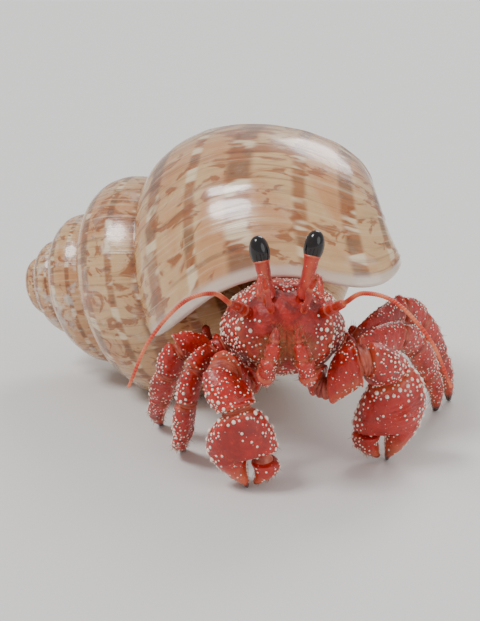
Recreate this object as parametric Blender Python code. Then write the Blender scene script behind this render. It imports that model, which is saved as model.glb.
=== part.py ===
"""Strawberry land hermit crab in a turban shell, standing as it walks, at life size.

Sizes are millimetres and are turned into metres where a mesh is made. X runs to the crab's left, Y to its
rear and Z up. The shell is a tube that sweeps round an axis and grows as it goes. The crab's trunk is one
loft. Each limb is a chain of joint points, and neighbouring segments meet at mitred planes with a thin gap.
"""
import math

import bmesh
import bpy
from mathutils import Vector

MM = 0.001
GAP = 0.3                      # clear space between neighbouring pieces
TURN = 2.0 * math.pi

# Shell: how the tube grows, and how its axis lies
GROWTH = 1.53                  # widening in each turn
AXIS_LENGTH = 70.0             # apex to the last section's centre, along the axis
AXIS_POWER = 1.08              # above 1 the spire's early turns lie closer together
TUBE_OFFSET = 18.2             # axis to the last section's centre
TUBE_RADIUS = 17.3             # last section's half width, across the axis
TUBE_APEX_SIDE = 25.0          # last section's reach towards the apex
TUBE_BASE_SIDE = 32.3          # last section's reach towards the base
SHOULDER = 38.0                # fullness of the earlier turns beside the seam
SHOULDER_ANGLE = math.radians(-38.0)
SHELL_YAW = 22.0               # the base points to the crab's left and forward
SHELL_PITCH = 8.0              # the apex lies lower than the base
LIP_ANGLE = 70.0               # lip's place round the axis, from the top towards the front
LIP_SLANT = 38.0               # degrees by which the lip runs ahead beside the spire
LIP_DIP = 15.0                 # degrees by which the lip's outer corner hangs down
LIP_SPAN = 2.2                 # radians of the last turn over which the slant comes in
LIP_CORNER = math.radians(62.0)   # the hanging corner's place round the section
SHELL_MIDDLE = Vector((2.2, 6.0, 28.0))
MIDDLE_SHARE = 0.93            # the middle's place along the axis
WALL = 1.7
CAVITY_BACK = 1.3 * math.pi    # how far the hollow goes in from the lip
EARLY_SKIN = 0.25              # extra thickness over the early turn inside the mouth
LAST_STRETCH = 4.9             # radians of tube, under one turn, in the stretch that ends at the lip
# Radians, rings and sides of each stretch before that one, back to the apex
EARLY_STRETCHES = ((5.4, 16, 16), (5.4, 14, 14), (5.4, 12, 12), (5.4, 10, 10), (2.6, 5, 8))
STRETCH_LAP = 0.3              # radians by which a stretch runs on into the next one
STRETCH_TUCK = 0.3             # share of the half width by which its last ring is drawn in

# Trunk: one egg-shaped loft from the face to the rear
TRUNK_FRONT = Vector((6.5, -46.0, 30.6))
TRUNK_REAR = Vector((6.0, -15.0, 22.4))
TRUNK_HALF_WIDTH = 12.0
TRUNK_HALF_HEIGHT = 9.3
TRUNK_BLUNT = 2.6              # superellipse power along the trunk
ABDOMEN_SHIFT = 8.5            # how far the abdomen lies from the tube's middle, towards the base
EASING = 2                     # how often the abdomen's line is evened out
SHIELD_START = 0.14            # share of the trunk's length
SHIELD_END = 0.62
SHIELD_HALF_ANGLE = 62.0       # degrees each side of the top
SHIELD_RISE = 0.35             # how far the shield stands over the trunk
SHIELD_DEPTH = 0.70            # the shield's flat underside, as a share of the local radius
POCKET_MARGIN = 0.6            # how much wider, longer and deeper the shield's seat is, at its middle

# Eyes
EYE_CENTRES = {"right": Vector((1.6, -41.3, 44.0)), "left": Vector((11.5, -41.3, 45.0))}
EYE_HALF_LENGTH = 3.0
EYE_RADIUS = 1.9

# Limbs: a place on the trunk, where 90 degrees faces sideways, and the joint points after the short base
LEGS = {
    "front_leg_left": dict(share=0.44, angle=112, joints=((30.2, -23.4, 22.3), (34.2, -17.6, 18.6),
                                                          (38.6, -11.6, 10.0), (41.0, -7.0, 0.0))),
    "rear_leg_left": dict(share=0.62, angle=110, joints=((31.5, -15.3, 25.6), (36.2, -10.3, 21.8),
                                                         (41.5, -5.0, 12.2), (45.0, -0.5, 0.0))),
    "front_leg_right": dict(share=0.48, angle=-114, joints=((-10.8, -39.6, 19.9), (-12.2, -40.6, 14.6),
                                                            (-12.9, -37.0, 6.8), (-13.5, -29.0, 0.0))),
    "rear_leg_right": dict(share=0.66, angle=-112, joints=((-14.1, -29.6, 21.4), (-16.3, -28.6, 16.2),
                                                           (-18.1, -23.8, 8.9), (-18.8, -15.5, 0.0))),
}
BASE_LENGTH = 3.0              # of a leg: each arm states its own
LEG_PARTS = ("base", "merus", "carpus", "propodus", "dactyl")
STEEPEST_MITRE = 40.0
JOINT_RADIUS = 5.6             # half size within which a steeply bent joint stays clear
FLOOR = (Vector((0, 0, 0)), Vector((0, 0, -1)))
BOWS = {"merus": 0.5, "carpus": 0.4, "propodus": 0.4, "dactyl": 0.9}
LEG_SIZES = {                  # half height and half thickness at the near end, the middle and the far end
    "base": ((2.3, 2.1), (2.5, 2.2), (2.2, 1.9)),
    "merus": ((2.3, 1.8), (3.0, 2.0), (2.8, 2.0)),
    "carpus": ((2.3, 1.9), (2.8, 2.1), (2.6, 2.0)),
    "propodus": ((2.4, 1.9), (2.6, 1.9), (2.2, 1.6)),
    "dactyl": ((2.1, 1.5), (1.7, 1.3), (0.55, 0.5)),
}
ARMS = {
    "cheliped_right": dict(share=0.34, angle=-150, base=3.8, inner=1.0, width=13.2, thick=7.0,
                           joints=((-5.8, -44.6, 21.8), (-2.4, -49.0, 16.2)), tip=(-1.0, -47.4, 0.0)),
    "cheliped_left": dict(share=0.34, angle=150, base=4.8, inner=-1.0, width=14.0, thick=8.0,
                          joints=((21.0, -41.8, 23.6), (26.9, -36.8, 19.2)), tip=(27.4, -34.2, 0.0)),
}
ARM_PARTS = ("base", "merus", "carpus")
ARM_SIZES = {
    "base": ((2.6, 2.4), (2.8, 2.5), (2.6, 2.3)),
    "merus": ((2.7, 2.4), (3.7, 2.9), (3.7, 3.0)),
    "carpus": ((3.3, 3.0), (4.3, 3.9), (3.5, 3.2)),
}

# Colours of the plain materials
SHELL_TAN = (0.78, 0.62, 0.44)
CRAB_RED = (0.62, 0.10, 0.05)
FLESH = (0.72, 0.42, 0.34)
EYE_BLACK = (0.01, 0.01, 0.012)


def smooth(x, low, high):
    """Ease from 0 at low to 1 at high."""
    u = min(1.0, max(0.0, (x - low) / (high - low)))
    return u * u * (3.0 - 2.0 * u)


def three_way(u, near, middle, far):
    """Quadratic through three values at 0, a half and 1."""
    return near * (1 - u) * (1 - 2 * u) + middle * 4 * u * (1 - u) + far * u * (2 * u - 1)


def paint(name, colour, roughness):
    material = bpy.data.materials.new(name)
    material.use_nodes = True
    shader = material.node_tree.nodes["Principled BSDF"]
    shader.inputs["Base Color"].default_value = (*colour, 1.0)
    shader.inputs["Roughness"].default_value = roughness
    shader.inputs["Metallic"].default_value = 0.0
    return material


def make_object(name, points, faces, colour, root, roughness=0.5, cutter=False):
    """One closed body from points in millimetres, its faces turned outwards."""
    mesh = bpy.data.meshes.new(name)
    mesh.from_pydata([(p[0] * MM, p[1] * MM, p[2] * MM) for p in points], [], faces)
    skin = bmesh.new()
    skin.from_mesh(mesh)
    bmesh.ops.recalc_face_normals(skin, faces=skin.faces)
    skin.to_mesh(mesh)
    skin.free()
    mesh.shade_smooth()
    mesh.set_sharp_from_angle(angle=math.radians(40))
    mesh.materials.append(paint(name, colour, roughness))
    piece = bpy.data.objects.new(name, mesh)
    piece.parent = root
    if cutter:
        piece.hide_render = True
        piece.display_type = "WIRE"
    bpy.context.scene.collection.objects.link(piece)
    return piece


def boolean(piece, other, operation):
    change = piece.modifiers.new(operation.lower() + "_" + other.name, "BOOLEAN")
    change.operation = operation
    change.object = other
    change.solver = "EXACT"


def loft_faces(rings, sides, near_pole, far_pole):
    """Quads between rings of points; each end is one flat face, or a fan to a pole point after the rings."""
    faces = []
    for r in range(rings - 1):
        for k in range(sides):
            after = (k + 1) % sides
            faces.append((r * sides + k, r * sides + after, (r + 1) * sides + after, (r + 1) * sides + k))
    last = (rings - 1) * sides
    pole = rings * sides
    if near_pole:
        faces += [((k + 1) % sides, k, pole) for k in range(sides)]
        pole += 1
    else:
        faces.append(tuple(reversed(range(sides))))
    if far_pole:
        faces += [(last + k, last + (k + 1) % sides, pole) for k in range(sides)]
    else:
        faces.append(tuple(range(last, last + sides)))
    return faces


# ---------------------------------------------------------------- shell

def shell_axes():
    yaw = math.radians(SHELL_YAW)
    pitch = math.radians(SHELL_PITCH)
    along = Vector((math.cos(yaw) * math.cos(pitch), -math.sin(yaw) * math.cos(pitch), math.sin(pitch)))
    top = (Vector((0, 0, 1)) - along * along.z).normalized()
    front = along.cross(top)
    start = SHELL_MIDDLE - along * (AXIS_LENGTH * MIDDLE_SHARE)
    return along, top, front, start


def shell_point(turn, around, grow=0.0):
    """A point of the tube: turn is 0 at the lip and negative towards the apex; around goes round the
    section from its outermost point towards the base; grow moves the surface out or in."""
    along, top, front, start = shell_axes()
    base_ward = math.sin(around)
    lead = LIP_SLANT * ((1.0 - base_ward) / 2.0) ** 1.5
    lead += LIP_DIP * max(0.0, math.cos(around - LIP_CORNER)) ** 6
    turn += math.radians(lead) * min(1.0, max(0.0, (turn + LIP_SPAN) / LIP_SPAN))
    size = GROWTH ** (turn / TURN)
    reach = (TUBE_BASE_SIDE if base_ward > 0 else TUBE_APEX_SIDE) * size + grow
    axial = AXIS_LENGTH * size ** AXIS_POWER + reach * base_ward
    radial = TUBE_OFFSET * size + (TUBE_RADIUS * size + grow) * math.cos(around)
    if size < 1:
        fullness = SHOULDER * (1 - size) ** 1.5 * size ** 2
        radial += fullness * max(0.0, math.cos(around - SHOULDER_ANGLE)) ** 2
    angle = math.radians(LIP_ANGLE) + turn
    return start + along * axial + (top * math.cos(angle) + front * math.sin(angle)) * radial


def shell_centre(turn, shift=0.0):
    """The section's centre, without the lip's slant, moved towards the base by a shift that grows with it."""
    along, top, front, start = shell_axes()
    size = GROWTH ** (turn / TURN)
    angle = math.radians(LIP_ANGLE) + turn
    outward = top * math.cos(angle) + front * math.sin(angle)
    return start + along * (AXIS_LENGTH * size ** AXIS_POWER + shift * size) + outward * (TUBE_OFFSET * size)


def shell_tube(name, first, last, rings, sides, root, grow=0.0, cutter=True, tuck=0.0):
    """A stretch of the tube, closed at both ends by fans. tuck draws the last ring in, so that it ends
    inside the stretch that follows."""
    points = []
    for r in range(rings):
        turn = first + (last - first) * r / (rings - 1)
        inward = tuck * TUBE_RADIUS * GROWTH ** (turn / TURN) if r == rings - 1 else 0.0
        points += [shell_point(turn, TURN * k / sides, grow - inward) for k in range(sides)]
    for r in (0, rings - 1):
        ring = points[r * sides:(r + 1) * sides]
        points.append(sum(ring, Vector()) / sides)
    return make_object(name, points, loft_faces(rings, sides, True, True), SHELL_TAN, root, 0.35, cutter)


def make_shell(root):
    """Tube stretches of under one turn each, joined, then hollowed from the lip and cut flat below."""
    shell = shell_tube("shell", -LAST_STRETCH, 0.0, 20, 22, root, cutter=False)
    last = -LAST_STRETCH
    for count, (stretch, rings, sides) in enumerate(EARLY_STRETCHES):
        early = shell_tube("early_turn_%d" % count, last - stretch, last + STRETCH_LAP, rings, sides, root,
                           tuck=STRETCH_TUCK)
        boolean(shell, early, "UNION")
        last -= stretch
    hollow = shell_tube("hollow", -CAVITY_BACK, 0.35, 14, 16, root, grow=-WALL)
    inside = shell_tube("turn_inside_mouth", -1.75 * TURN, -TURN + 1.25, 17, 16, root, grow=EARLY_SKIN)
    boolean(hollow, inside, "DIFFERENCE")
    boolean(shell, hollow, "DIFFERENCE")
    reach = 60.0
    corners = [(x, y, z) for x in (-reach, reach) for y in (-reach, reach) for z in (-20.0, 0.0)]
    sides = [(0, 1, 3, 2), (4, 6, 7, 5), (0, 4, 5, 1), (2, 3, 7, 6), (0, 2, 6, 4), (1, 5, 7, 3)]
    floor_cut = make_object("floor_cut", corners, sides, SHELL_TAN, root, cutter=True)
    boolean(shell, floor_cut, "DIFFERENCE")


# ---------------------------------------------------------------- trunk

def trunk_axes():
    back = (TRUNK_REAR - TRUNK_FRONT)
    length = back.length
    back.normalize()
    side = Vector((1, 0, 0))
    side = (side - back * side.dot(back)).normalized()
    up = side.cross(back)
    if up.z < 0:
        up = -up
    return back, side, up, length


def trunk_point(share, angle, grow=0.0, depth=1.0):
    """A point of the trunk's skin: share 0 is the face, angle 0 the top and 90 the crab's left."""
    back, side, up, length = trunk_axes()
    full = max(0.0, 1.0 - abs(1.0 - 2.0 * share) ** TRUNK_BLUNT) ** (1.0 / TRUNK_BLUNT)
    wide = TRUNK_HALF_WIDTH * full * (0.86 + 0.14 * smooth(share, 0.0, 0.45))
    tall = TRUNK_HALF_HEIGHT * full
    a = math.radians(angle)
    if math.cos(a) > 0:
        tall *= 1.0 - 0.14 * smooth(share, 0.2, 0.5)
    offset = side * ((wide + grow) * math.sin(a)) + up * ((tall + grow) * math.cos(a))
    return TRUNK_FRONT + back * (length * share) + offset * depth


def trunk_normal(share, angle):
    step = 0.01
    along = trunk_point(share + step, angle) - trunk_point(share - step, angle)
    round_it = trunk_point(share, angle + 1.0) - trunk_point(share, angle - 1.0)
    normal = along.cross(round_it).normalized()
    middle = (TRUNK_FRONT + TRUNK_REAR) / 2
    if normal.dot(trunk_point(share, angle) - middle) < 0:
        normal = -normal
    return normal


def shield_rings(name, margin, rise, depth, root, cutter):
    """D-shaped rings: an arc over the trunk's top and a flat chord under it."""
    rings = 9
    arc = 12
    back = trunk_axes()[0]
    points = []
    for r in range(rings):
        u = r / (rings - 1)
        share = SHIELD_START + (SHIELD_END - SHIELD_START) * u
        half = SHIELD_HALF_ANGLE * (0.80 + 0.20 * math.sin(math.pi * min(1.0, 0.15 + u * 0.75)))
        shift = back * (margin * (2 * u - 1))
        half += math.degrees(margin / TRUNK_HALF_HEIGHT)
        for k in range(arc):
            angle = -half + 2 * half * k / (arc - 1)
            points.append(trunk_point(share, angle, rise) + shift)
        for angle in (half, -half):
            points.append(trunk_point(share, angle, 0.0, depth) + shift)
    faces = loft_faces(rings, arc + 2, False, False)
    return make_object(name, points, faces, CRAB_RED, root, 0.45, cutter)


def make_trunk(root):
    rings = 14
    sides = 20
    points = []
    for r in range(rings):
        share = 0.5 - 0.5 * math.cos(math.pi * (r + 0.75) / (rings + 0.5))
        points += [trunk_point(share, 360.0 * k / sides) for k in range(sides)]
    points += [TRUNK_FRONT, TRUNK_REAR]
    trunk = make_object("thorax", points, loft_faces(rings, sides, True, True), FLESH, root)
    shield_rings("shield", 0.0, SHIELD_RISE, SHIELD_DEPTH, root, False)
    seat_depth = SHIELD_DEPTH - POCKET_MARGIN / TRUNK_HALF_HEIGHT
    pocket = shield_rings("shield_pocket", POCKET_MARGIN, 3.0, seat_depth, root, True)
    boolean(trunk, pocket, "DIFFERENCE")


def curve_through(points, steps):
    """A smooth curve through the points, as Catmull-Rom pieces."""
    ends = [points[0] * 2 - points[1]] + list(points) + [points[-1] * 2 - points[-2]]
    line = []
    for i in range(1, len(ends) - 2):
        a, b, c, d = ends[i - 1:i + 3]
        for s in range(steps):
            u = s / steps
            line.append(0.5 * (2 * b + (c - a) * u + (2 * a - 5 * b + 4 * c - d) * u * u
                               + (3 * b - a - 3 * c + d) * u ** 3))
    line.append(points[-1])
    return line


def make_tube(name, line, radii, sides, colour, root, flat_near=False):
    """A round tube along a line of points, with a radius at each, closed by poles or a flat near end."""
    side = Vector((1, 0.3, 0.2))
    points = []
    for i, here in enumerate(line):
        ahead = (line[min(i + 1, len(line) - 1)] - line[max(i - 1, 0)]).normalized()
        side = (side - ahead * side.dot(ahead)).normalized()
        across = ahead.cross(side)
        for k in range(sides):
            a = TURN * k / sides
            points.append(here + (side * math.cos(a) + across * math.sin(a)) * radii[i])
    if not flat_near:
        points.append(line[0] - (line[1] - line[0]).normalized() * radii[0] * 0.6)
    points.append(line[-1] + (line[-1] - line[-2]).normalized() * radii[-1] * 0.8)
    return make_object(name, points, loft_faces(len(line), sides, not flat_near, True), colour, root)


def make_abdomen(root):
    """The soft abdomen rises from the trunk's rear into the last turn's hollow and tapers to the tail."""
    start = TRUNK_REAR + trunk_axes()[0] * 1.8
    steps = ((0, 0, 0), (0.9, 2.4, -0.4), (2.2, 5.2, 5.4), (1.9, 7.2, 12.6))
    middles = [start + Vector(step) for step in steps]
    middles += [shell_centre(share * math.pi, ABDOMEN_SHIFT) for share in (-0.32, -0.52, -0.72, -0.92, -1.08)]
    line = curve_through(middles, 3)
    for _ in range(EASING):
        line[1:-1] = [(line[i - 1] + line[i] * 2 + line[i + 1]) / 4 for i in range(1, len(line) - 1)]
    radii = [three_way(i / (len(line) - 1), 3.2, 6.8, 1.4) for i in range(len(line))]
    make_tube("abdomen", line, radii, 12, FLESH, root, flat_near=True)


# ---------------------------------------------------------------- limbs

def cut_distance(point, along, cut):
    """How far a point travels along a direction before it meets a plane, given as a point and a normal."""
    place, normal = cut
    return (place - point).dot(normal) / along.dot(normal)


def make_segment(name, near, far, near_cut, far_cut, sizes, tall_way, colour, root, bow=0.0, sides=8,
                 rings=5):
    """A limb segment between two joint points. Its end rings lie in the planes near_cut and far_cut, each a
    point and a normal. sizes holds half height and half thickness at three places along it."""
    along = (far - near).normalized()
    tall = (tall_way - along * tall_way.dot(along)).normalized()
    thin = along.cross(tall)
    points = []
    for r in range(rings):
        u = r / (rings - 1)
        half_tall = three_way(u, sizes[0][0], sizes[1][0], sizes[2][0])
        half_thin = three_way(u, sizes[0][1], sizes[1][1], sizes[2][1])
        bend = tall * (bow * math.sin(math.pi * u))
        for k in range(sides):
            a = TURN * k / sides
            offset = near + tall * (half_tall * math.cos(a)) + thin * (half_thin * math.sin(a))
            low = cut_distance(offset, along, near_cut)
            high = cut_distance(offset, along, far_cut)
            points.append(offset + along * (low + (high - low) * u) + bend)
    return make_object(name, points, loft_faces(rings, sides, False, False), colour, root)


def turn_towards(way, goal, degrees):
    """A direction turned by an angle towards another one."""
    across = (goal - way * goal.dot(way)).normalized()
    a = math.radians(degrees)
    return way * math.cos(a) + across * math.sin(a)


def mitre(before, joint, after):
    """The two planes at a joint, each as a point and a normal along the limb: for the segment that ends
    there and for the one that starts. Both halve the bend, up to the steepest mitre; past that they tilt
    no more and stand back from the joint, so that the inner corners stay clear."""
    first = (joint - before).normalized()
    second = (after - joint).normalized()
    half = math.degrees(first.angle(second)) / 2
    tilt = min(half, STEEPEST_MITRE)
    back = JOINT_RADIUS * math.sin(math.radians(half - tilt)) + GAP / 2
    ending = turn_towards(first, second, tilt)
    starting = turn_towards(second, first, tilt)
    return (joint - ending * back, ending), (joint + starting * back, starting)


def make_chain(name, spec, parts, sizes, root, last_cut):
    """Segments from the trunk's skin along the joint points, down to the floor or the wrist."""
    skin = trunk_normal(spec["share"], spec["angle"])
    start = trunk_point(spec["share"], spec["angle"])
    line = [start, start + skin * spec.get("base", BASE_LENGTH)] + [Vector(p) for p in spec["joints"]]
    knee = limb_top(line)
    near_cut = (start + skin * GAP, skin)
    for i, part in enumerate(parts):
        if i + 2 < len(line):
            far_cut, next_cut = mitre(line[i], line[i + 1], line[i + 2])
        else:
            far_cut, next_cut = last_cut, None
        tall_way = Vector((0, 0, 1)) if part in ("base", "merus") else knee
        make_segment(name + "_" + part, line[i], line[i + 1], near_cut, far_cut, sizes[part], tall_way,
                     CRAB_RED, root, BOWS.get(part, 0.0))
        near_cut = next_cut


def limb_top(line):
    """The outer side of a bent limb: from the chord between its ends towards its knee."""
    chord = (line[-1] - line[0]).normalized()
    knee = line[2] - line[0]
    return (knee - chord * knee.dot(chord)).normalized()


PALM_SHARES = (0.0, 0.08, 0.2, 0.34, 0.46, 0.56, 0.60, 0.64, 0.74, 0.84, 0.93, 1.0)
FINGER_START = 0.58
SOCKET = 0.065                 # from there to the movable finger's root, as a share of the claw's length


def palm_outer(s):
    """Outer edge of the palm and fixed finger, as a share of the palm's width from the wrist line."""
    return 0.20 + 0.36 * math.sin(math.pi * min(1.0, s / 0.94)) ** 0.75 * (1 - 0.35 * s) - 0.20 * s ** 3


def palm_inner(s):
    """Inner edge: the palm's bulge, a step at the finger's root, then the fixed finger's biting edge."""
    palm = -0.20 - 0.30 * math.sin(math.pi * min(1.0, s / 1.05)) ** 0.8
    finger = -0.035 - 0.02 * s
    return palm + (finger - palm) * smooth(s, FINGER_START - 0.02, FINGER_START + 0.03)


def make_palm(name, spec, root):
    """The palm with its fixed finger: oval rings between an inner and an outer edge."""
    wrist = Vector(spec["joints"][-1])
    tip = Vector(spec["tip"])
    along = (tip - wrist).normalized()
    length = (tip - wrist).length
    outward = Vector((-spec["inner"], 0, 0))
    outward = (outward - along * outward.dot(along)).normalized()
    forward = along.cross(outward)
    elbow = Vector(spec["joints"][-2])
    arm_cut, palm_cut = mitre(elbow, wrist, tip)
    sides = 14
    points = []
    for s in PALM_SHARES:
        low = palm_inner(s) * spec["width"]
        high = palm_outer(s) * spec["width"]
        thick = spec["thick"] / 2 * three_way(s, 0.72, 1.0, 0.22) * (1.0 if s < FINGER_START else 0.92)
        for k in range(sides):
            a = TURN * k / sides
            offset = wrist + outward * ((low + high) / 2 + (high - low) / 2 * math.cos(a))
            offset += forward * (thick * math.sin(a))
            near = cut_distance(offset, along, palm_cut)
            far = cut_distance(offset, along, FLOOR)
            points.append(offset + along * (near + (far - near) * s))
    make_object(name + "_palm", points, loft_faces(len(PALM_SHARES), sides, False, False), CRAB_RED, root)
    make_finger(name, spec, wrist, along, outward, forward, length, root)
    return arm_cut


def make_finger(name, spec, wrist, along, outward, forward, length, root):
    """The movable finger, on the claw's inner side, from its socket to beside the fixed finger's tip."""
    rings = 6
    sides = 10
    width = spec["width"]
    start = FINGER_START + SOCKET
    end = 0.96
    points = []
    for r in range(rings):
        u = r / (rings - 1)
        s = start + (end - start) * u
        middle = three_way(u, -0.28, -0.315, -0.145) * width
        half = three_way(u, 0.185, 0.17, 0.045) * width
        thick = spec["thick"] / 2 * three_way(u, 0.80, 0.62, 0.18)
        place = wrist + along * (length * s) + outward * middle
        for k in range(sides):
            a = TURN * k / sides
            points.append(place + outward * (half * math.cos(a)) + forward * (thick * math.sin(a)))
    make_object(name + "_finger", points, loft_faces(rings, sides, False, False), CRAB_RED, root)


# ---------------------------------------------------------------- head

def make_eye(side_name, sign, root):
    """A stout stalk with a long cornea on its end."""
    centre = EYE_CENTRES[side_name]
    share = 0.085
    angle = sign * 26.0
    skin = trunk_normal(share, angle)
    start = trunk_point(share, angle) + skin * (GAP / 2)
    way = (centre - start).normalized()
    seat = centre - way * (EYE_HALF_LENGTH * 0.45)
    stalk = ((1.75, 1.6), (1.35, 1.3), (1.75, 1.7))
    near_cut = (start + skin * (GAP / 2), skin)
    far_cut = (seat - way * (GAP / 2), way)
    make_segment("eyestalk_" + side_name, start, seat, near_cut, far_cut, stalk, Vector((0, -1, 0)), CRAB_RED,
                 root, sides=10)
    rings = 7
    sides = 12
    low = seat + way * (GAP / 2)
    high = centre + way * EYE_HALF_LENGTH
    first = 0.45
    points = []
    across = (Vector((1, 0, 0)) - way * way.x).normalized()
    other = way.cross(across)
    for r in range(rings):
        a = math.asin(-first) + (math.radians(78) - math.asin(-first)) * r / (rings - 1)
        ring = low + way * (EYE_HALF_LENGTH * (math.sin(a) + first))
        for k in range(sides):
            b = TURN * k / sides
            points.append(ring + (across * math.cos(b) + other * math.sin(b)) * (EYE_RADIUS * math.cos(a)))
    points.append(high)
    make_object("eye_" + side_name, points, loft_faces(rings, sides, False, True), EYE_BLACK, root, 0.1)


def make_antenna(side_name, sign, root):
    """A three-part stalk shown as one taper, then a long whip that sweeps out, forward and down."""
    share = 0.10
    angle = sign * 64.0
    skin = trunk_normal(share, angle)
    start = trunk_point(share, angle) + skin * (GAP / 2)
    joint = start + Vector((sign * 3.2, -4.6, 3.0))
    way = (joint - start).normalized()
    stalk = ((1.1, 1.1), (0.95, 0.95), (0.75, 0.75))
    near_cut = (start + skin * (GAP / 2), skin)
    far_cut = (joint - way * (GAP / 2), way)
    make_segment("antenna_base_" + side_name, start, joint, near_cut, far_cut, stalk, Vector((0, 0, 1)),
                 CRAB_RED, root, sides=8, rings=4)
    first = joint + way * (GAP / 2)
    route = [first, first + Vector((sign * 3.0, -5.0, 3.2)), first + Vector((sign * 8.0, -10.5, 3.0)),
             first + Vector((sign * 13.5, -14.5, -2.5)), first + Vector((sign * 17.0, -16.5, -10.0))]
    line = curve_through(route, 4)
    radii = [0.52 - 0.24 * i / (len(line) - 1) for i in range(len(line))]
    make_tube("antenna_" + side_name, line, radii, 6, CRAB_RED, root, flat_near=True)


def make_antennule(side_name, sign, root):
    """The small inner feeler: a bent stalk and a club."""
    share = 0.035
    angle = sign * 30.0
    skin = trunk_normal(share, angle)
    start = trunk_point(share, angle) + skin * (GAP + 0.3)
    route = [start, start + Vector((sign * 0.3, -5.0, 0.6)), start + Vector((sign * 1.2, -7.6, 5.4)),
             start + Vector((sign * 2.2, -11.5, 8.4)), start + Vector((sign * 2.6, -14.2, 5.8))]
    line = curve_through(route, 3)
    radii = [0.62 if i < 9 else 0.45 for i in range(len(line))]
    make_tube("antennule_" + side_name, line, radii, 6, CRAB_RED, root)


def make_maxilliped(side_name, sign, root):
    """The outer mouth limb: it hangs over the mouth, and its end folds back up beside its fellow."""
    share = 0.10
    angle = sign * 152.0
    skin = trunk_normal(share, angle)
    start = trunk_point(share, angle) + skin * (GAP + 1.2)
    route = [start, start + Vector((-sign * 0.1, -3.4, -1.0)), start + Vector((-sign * 0.6, -5.6, 1.8)),
             start + Vector((-sign * 1.5, -5.9, 5.6)), start + Vector((-sign * 2.0, -5.2, 8.4))]
    line = curve_through(route, 3)
    radii = [three_way(i / (len(line) - 1), 1.5, 1.85, 0.75) for i in range(len(line))]
    make_tube("maxilliped_" + side_name, line, radii, 8, FLESH, root)


def make_small_leg(side_name, sign, root):
    """The short fourth leg, which steadies the shell at the mouth's edge."""
    share = 0.80
    angle = sign * 112.0
    skin = trunk_normal(share, angle)
    start = trunk_point(share, angle) + skin * (GAP + 1.2)
    route = [start, start + skin * 2.4 + Vector((0, 0.4, 0.2)), start + skin * 4.2 + Vector((0, 0.8, 2.4)),
             start + skin * 4.8 + Vector((0, 0.8, 5.0))]
    line = curve_through(route, 2)
    radii = [three_way(i / (len(line) - 1), 1.3, 1.15, 0.85) for i in range(len(line))]
    make_tube("small_leg_" + side_name, line, radii, 8, CRAB_RED, root)


# ---------------------------------------------------------------- whole

def centre_on_floor(root):
    """Move the whole so that its box is centred over the origin."""
    bpy.context.view_layer.update()
    graph = bpy.context.evaluated_depsgraph_get()
    low = Vector((9, 9, 9))
    high = Vector((-9, -9, -9))
    for piece in bpy.data.objects:
        if piece.type != "MESH" or piece.hide_render:
            continue
        mesh = piece.evaluated_get(graph).to_mesh()
        for vertex in mesh.vertices:
            place = piece.matrix_world @ vertex.co
            low = Vector(map(min, low, place))
            high = Vector(map(max, high, place))
    middle = (low + high) / 2
    root.location = (-middle.x, -middle.y, 0.0)


def main():
    for thing in list(bpy.data.objects):
        bpy.data.objects.remove(thing)
    root = bpy.data.objects.new("hermit_crab", None)
    bpy.context.scene.collection.objects.link(root)
    make_shell(root)
    make_trunk(root)
    make_abdomen(root)
    for name, spec in LEGS.items():
        make_chain(name, spec, LEG_PARTS, LEG_SIZES, root, FLOOR)
    for name, spec in ARMS.items():
        arm_cut = make_palm(name, spec, root)
        make_chain(name, spec, ARM_PARTS, ARM_SIZES, root, arm_cut)
    for side_name, sign in (("left", 1.0), ("right", -1.0)):
        make_eye(side_name, sign, root)
        make_antenna(side_name, sign, root)
        make_antennule(side_name, sign, root)
        make_maxilliped(side_name, sign, root)
        make_small_leg(side_name, sign, root)
    centre_on_floor(root)


main()
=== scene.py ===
"""A hermit crab standing in its turban shell: shell, armour, claws, eyes, feelers, granules and hairs.

Sizes inside the shape functions are millimetres. X runs to the crab's left, Y to its rear and Z up.
"""
import math

import bpy
import numpy as np
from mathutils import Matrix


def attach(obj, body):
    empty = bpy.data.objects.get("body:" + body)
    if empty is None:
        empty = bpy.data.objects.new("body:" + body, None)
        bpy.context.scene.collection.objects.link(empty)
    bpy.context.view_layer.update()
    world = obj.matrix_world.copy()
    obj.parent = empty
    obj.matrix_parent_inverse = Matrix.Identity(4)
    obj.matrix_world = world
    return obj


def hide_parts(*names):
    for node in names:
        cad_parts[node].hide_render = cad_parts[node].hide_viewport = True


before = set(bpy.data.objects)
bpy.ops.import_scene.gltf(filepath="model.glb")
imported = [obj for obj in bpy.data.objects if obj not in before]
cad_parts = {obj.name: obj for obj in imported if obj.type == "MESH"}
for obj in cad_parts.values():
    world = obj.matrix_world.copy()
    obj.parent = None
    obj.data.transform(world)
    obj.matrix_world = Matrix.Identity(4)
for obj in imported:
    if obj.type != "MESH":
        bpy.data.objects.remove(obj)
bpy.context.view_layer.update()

bl_info = {
    "name": "Hermit Crab",
    "version": (1, 0, 0),
    "blender": (4, 5, 0),
    "location": "3D View > Sidebar > Hermit Crab",
    "description": "Makes a life-size hermit crab in a turban shell",
    "category": "Add Mesh",
}

MM = 0.001
TURN = 2.0 * math.pi
SHIFT = np.array((3.7972, 11.9566, 0.0))      # from the limbs' own frame to the middle of the outline
UP = np.array((0.0, 0.0, 1.0))
LEFT = np.array((1.0, 0.0, 0.0))
SIDES = (("left", 1.0), ("right", -1.0))
GAP = 0.3                      # between neighbouring solids

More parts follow.
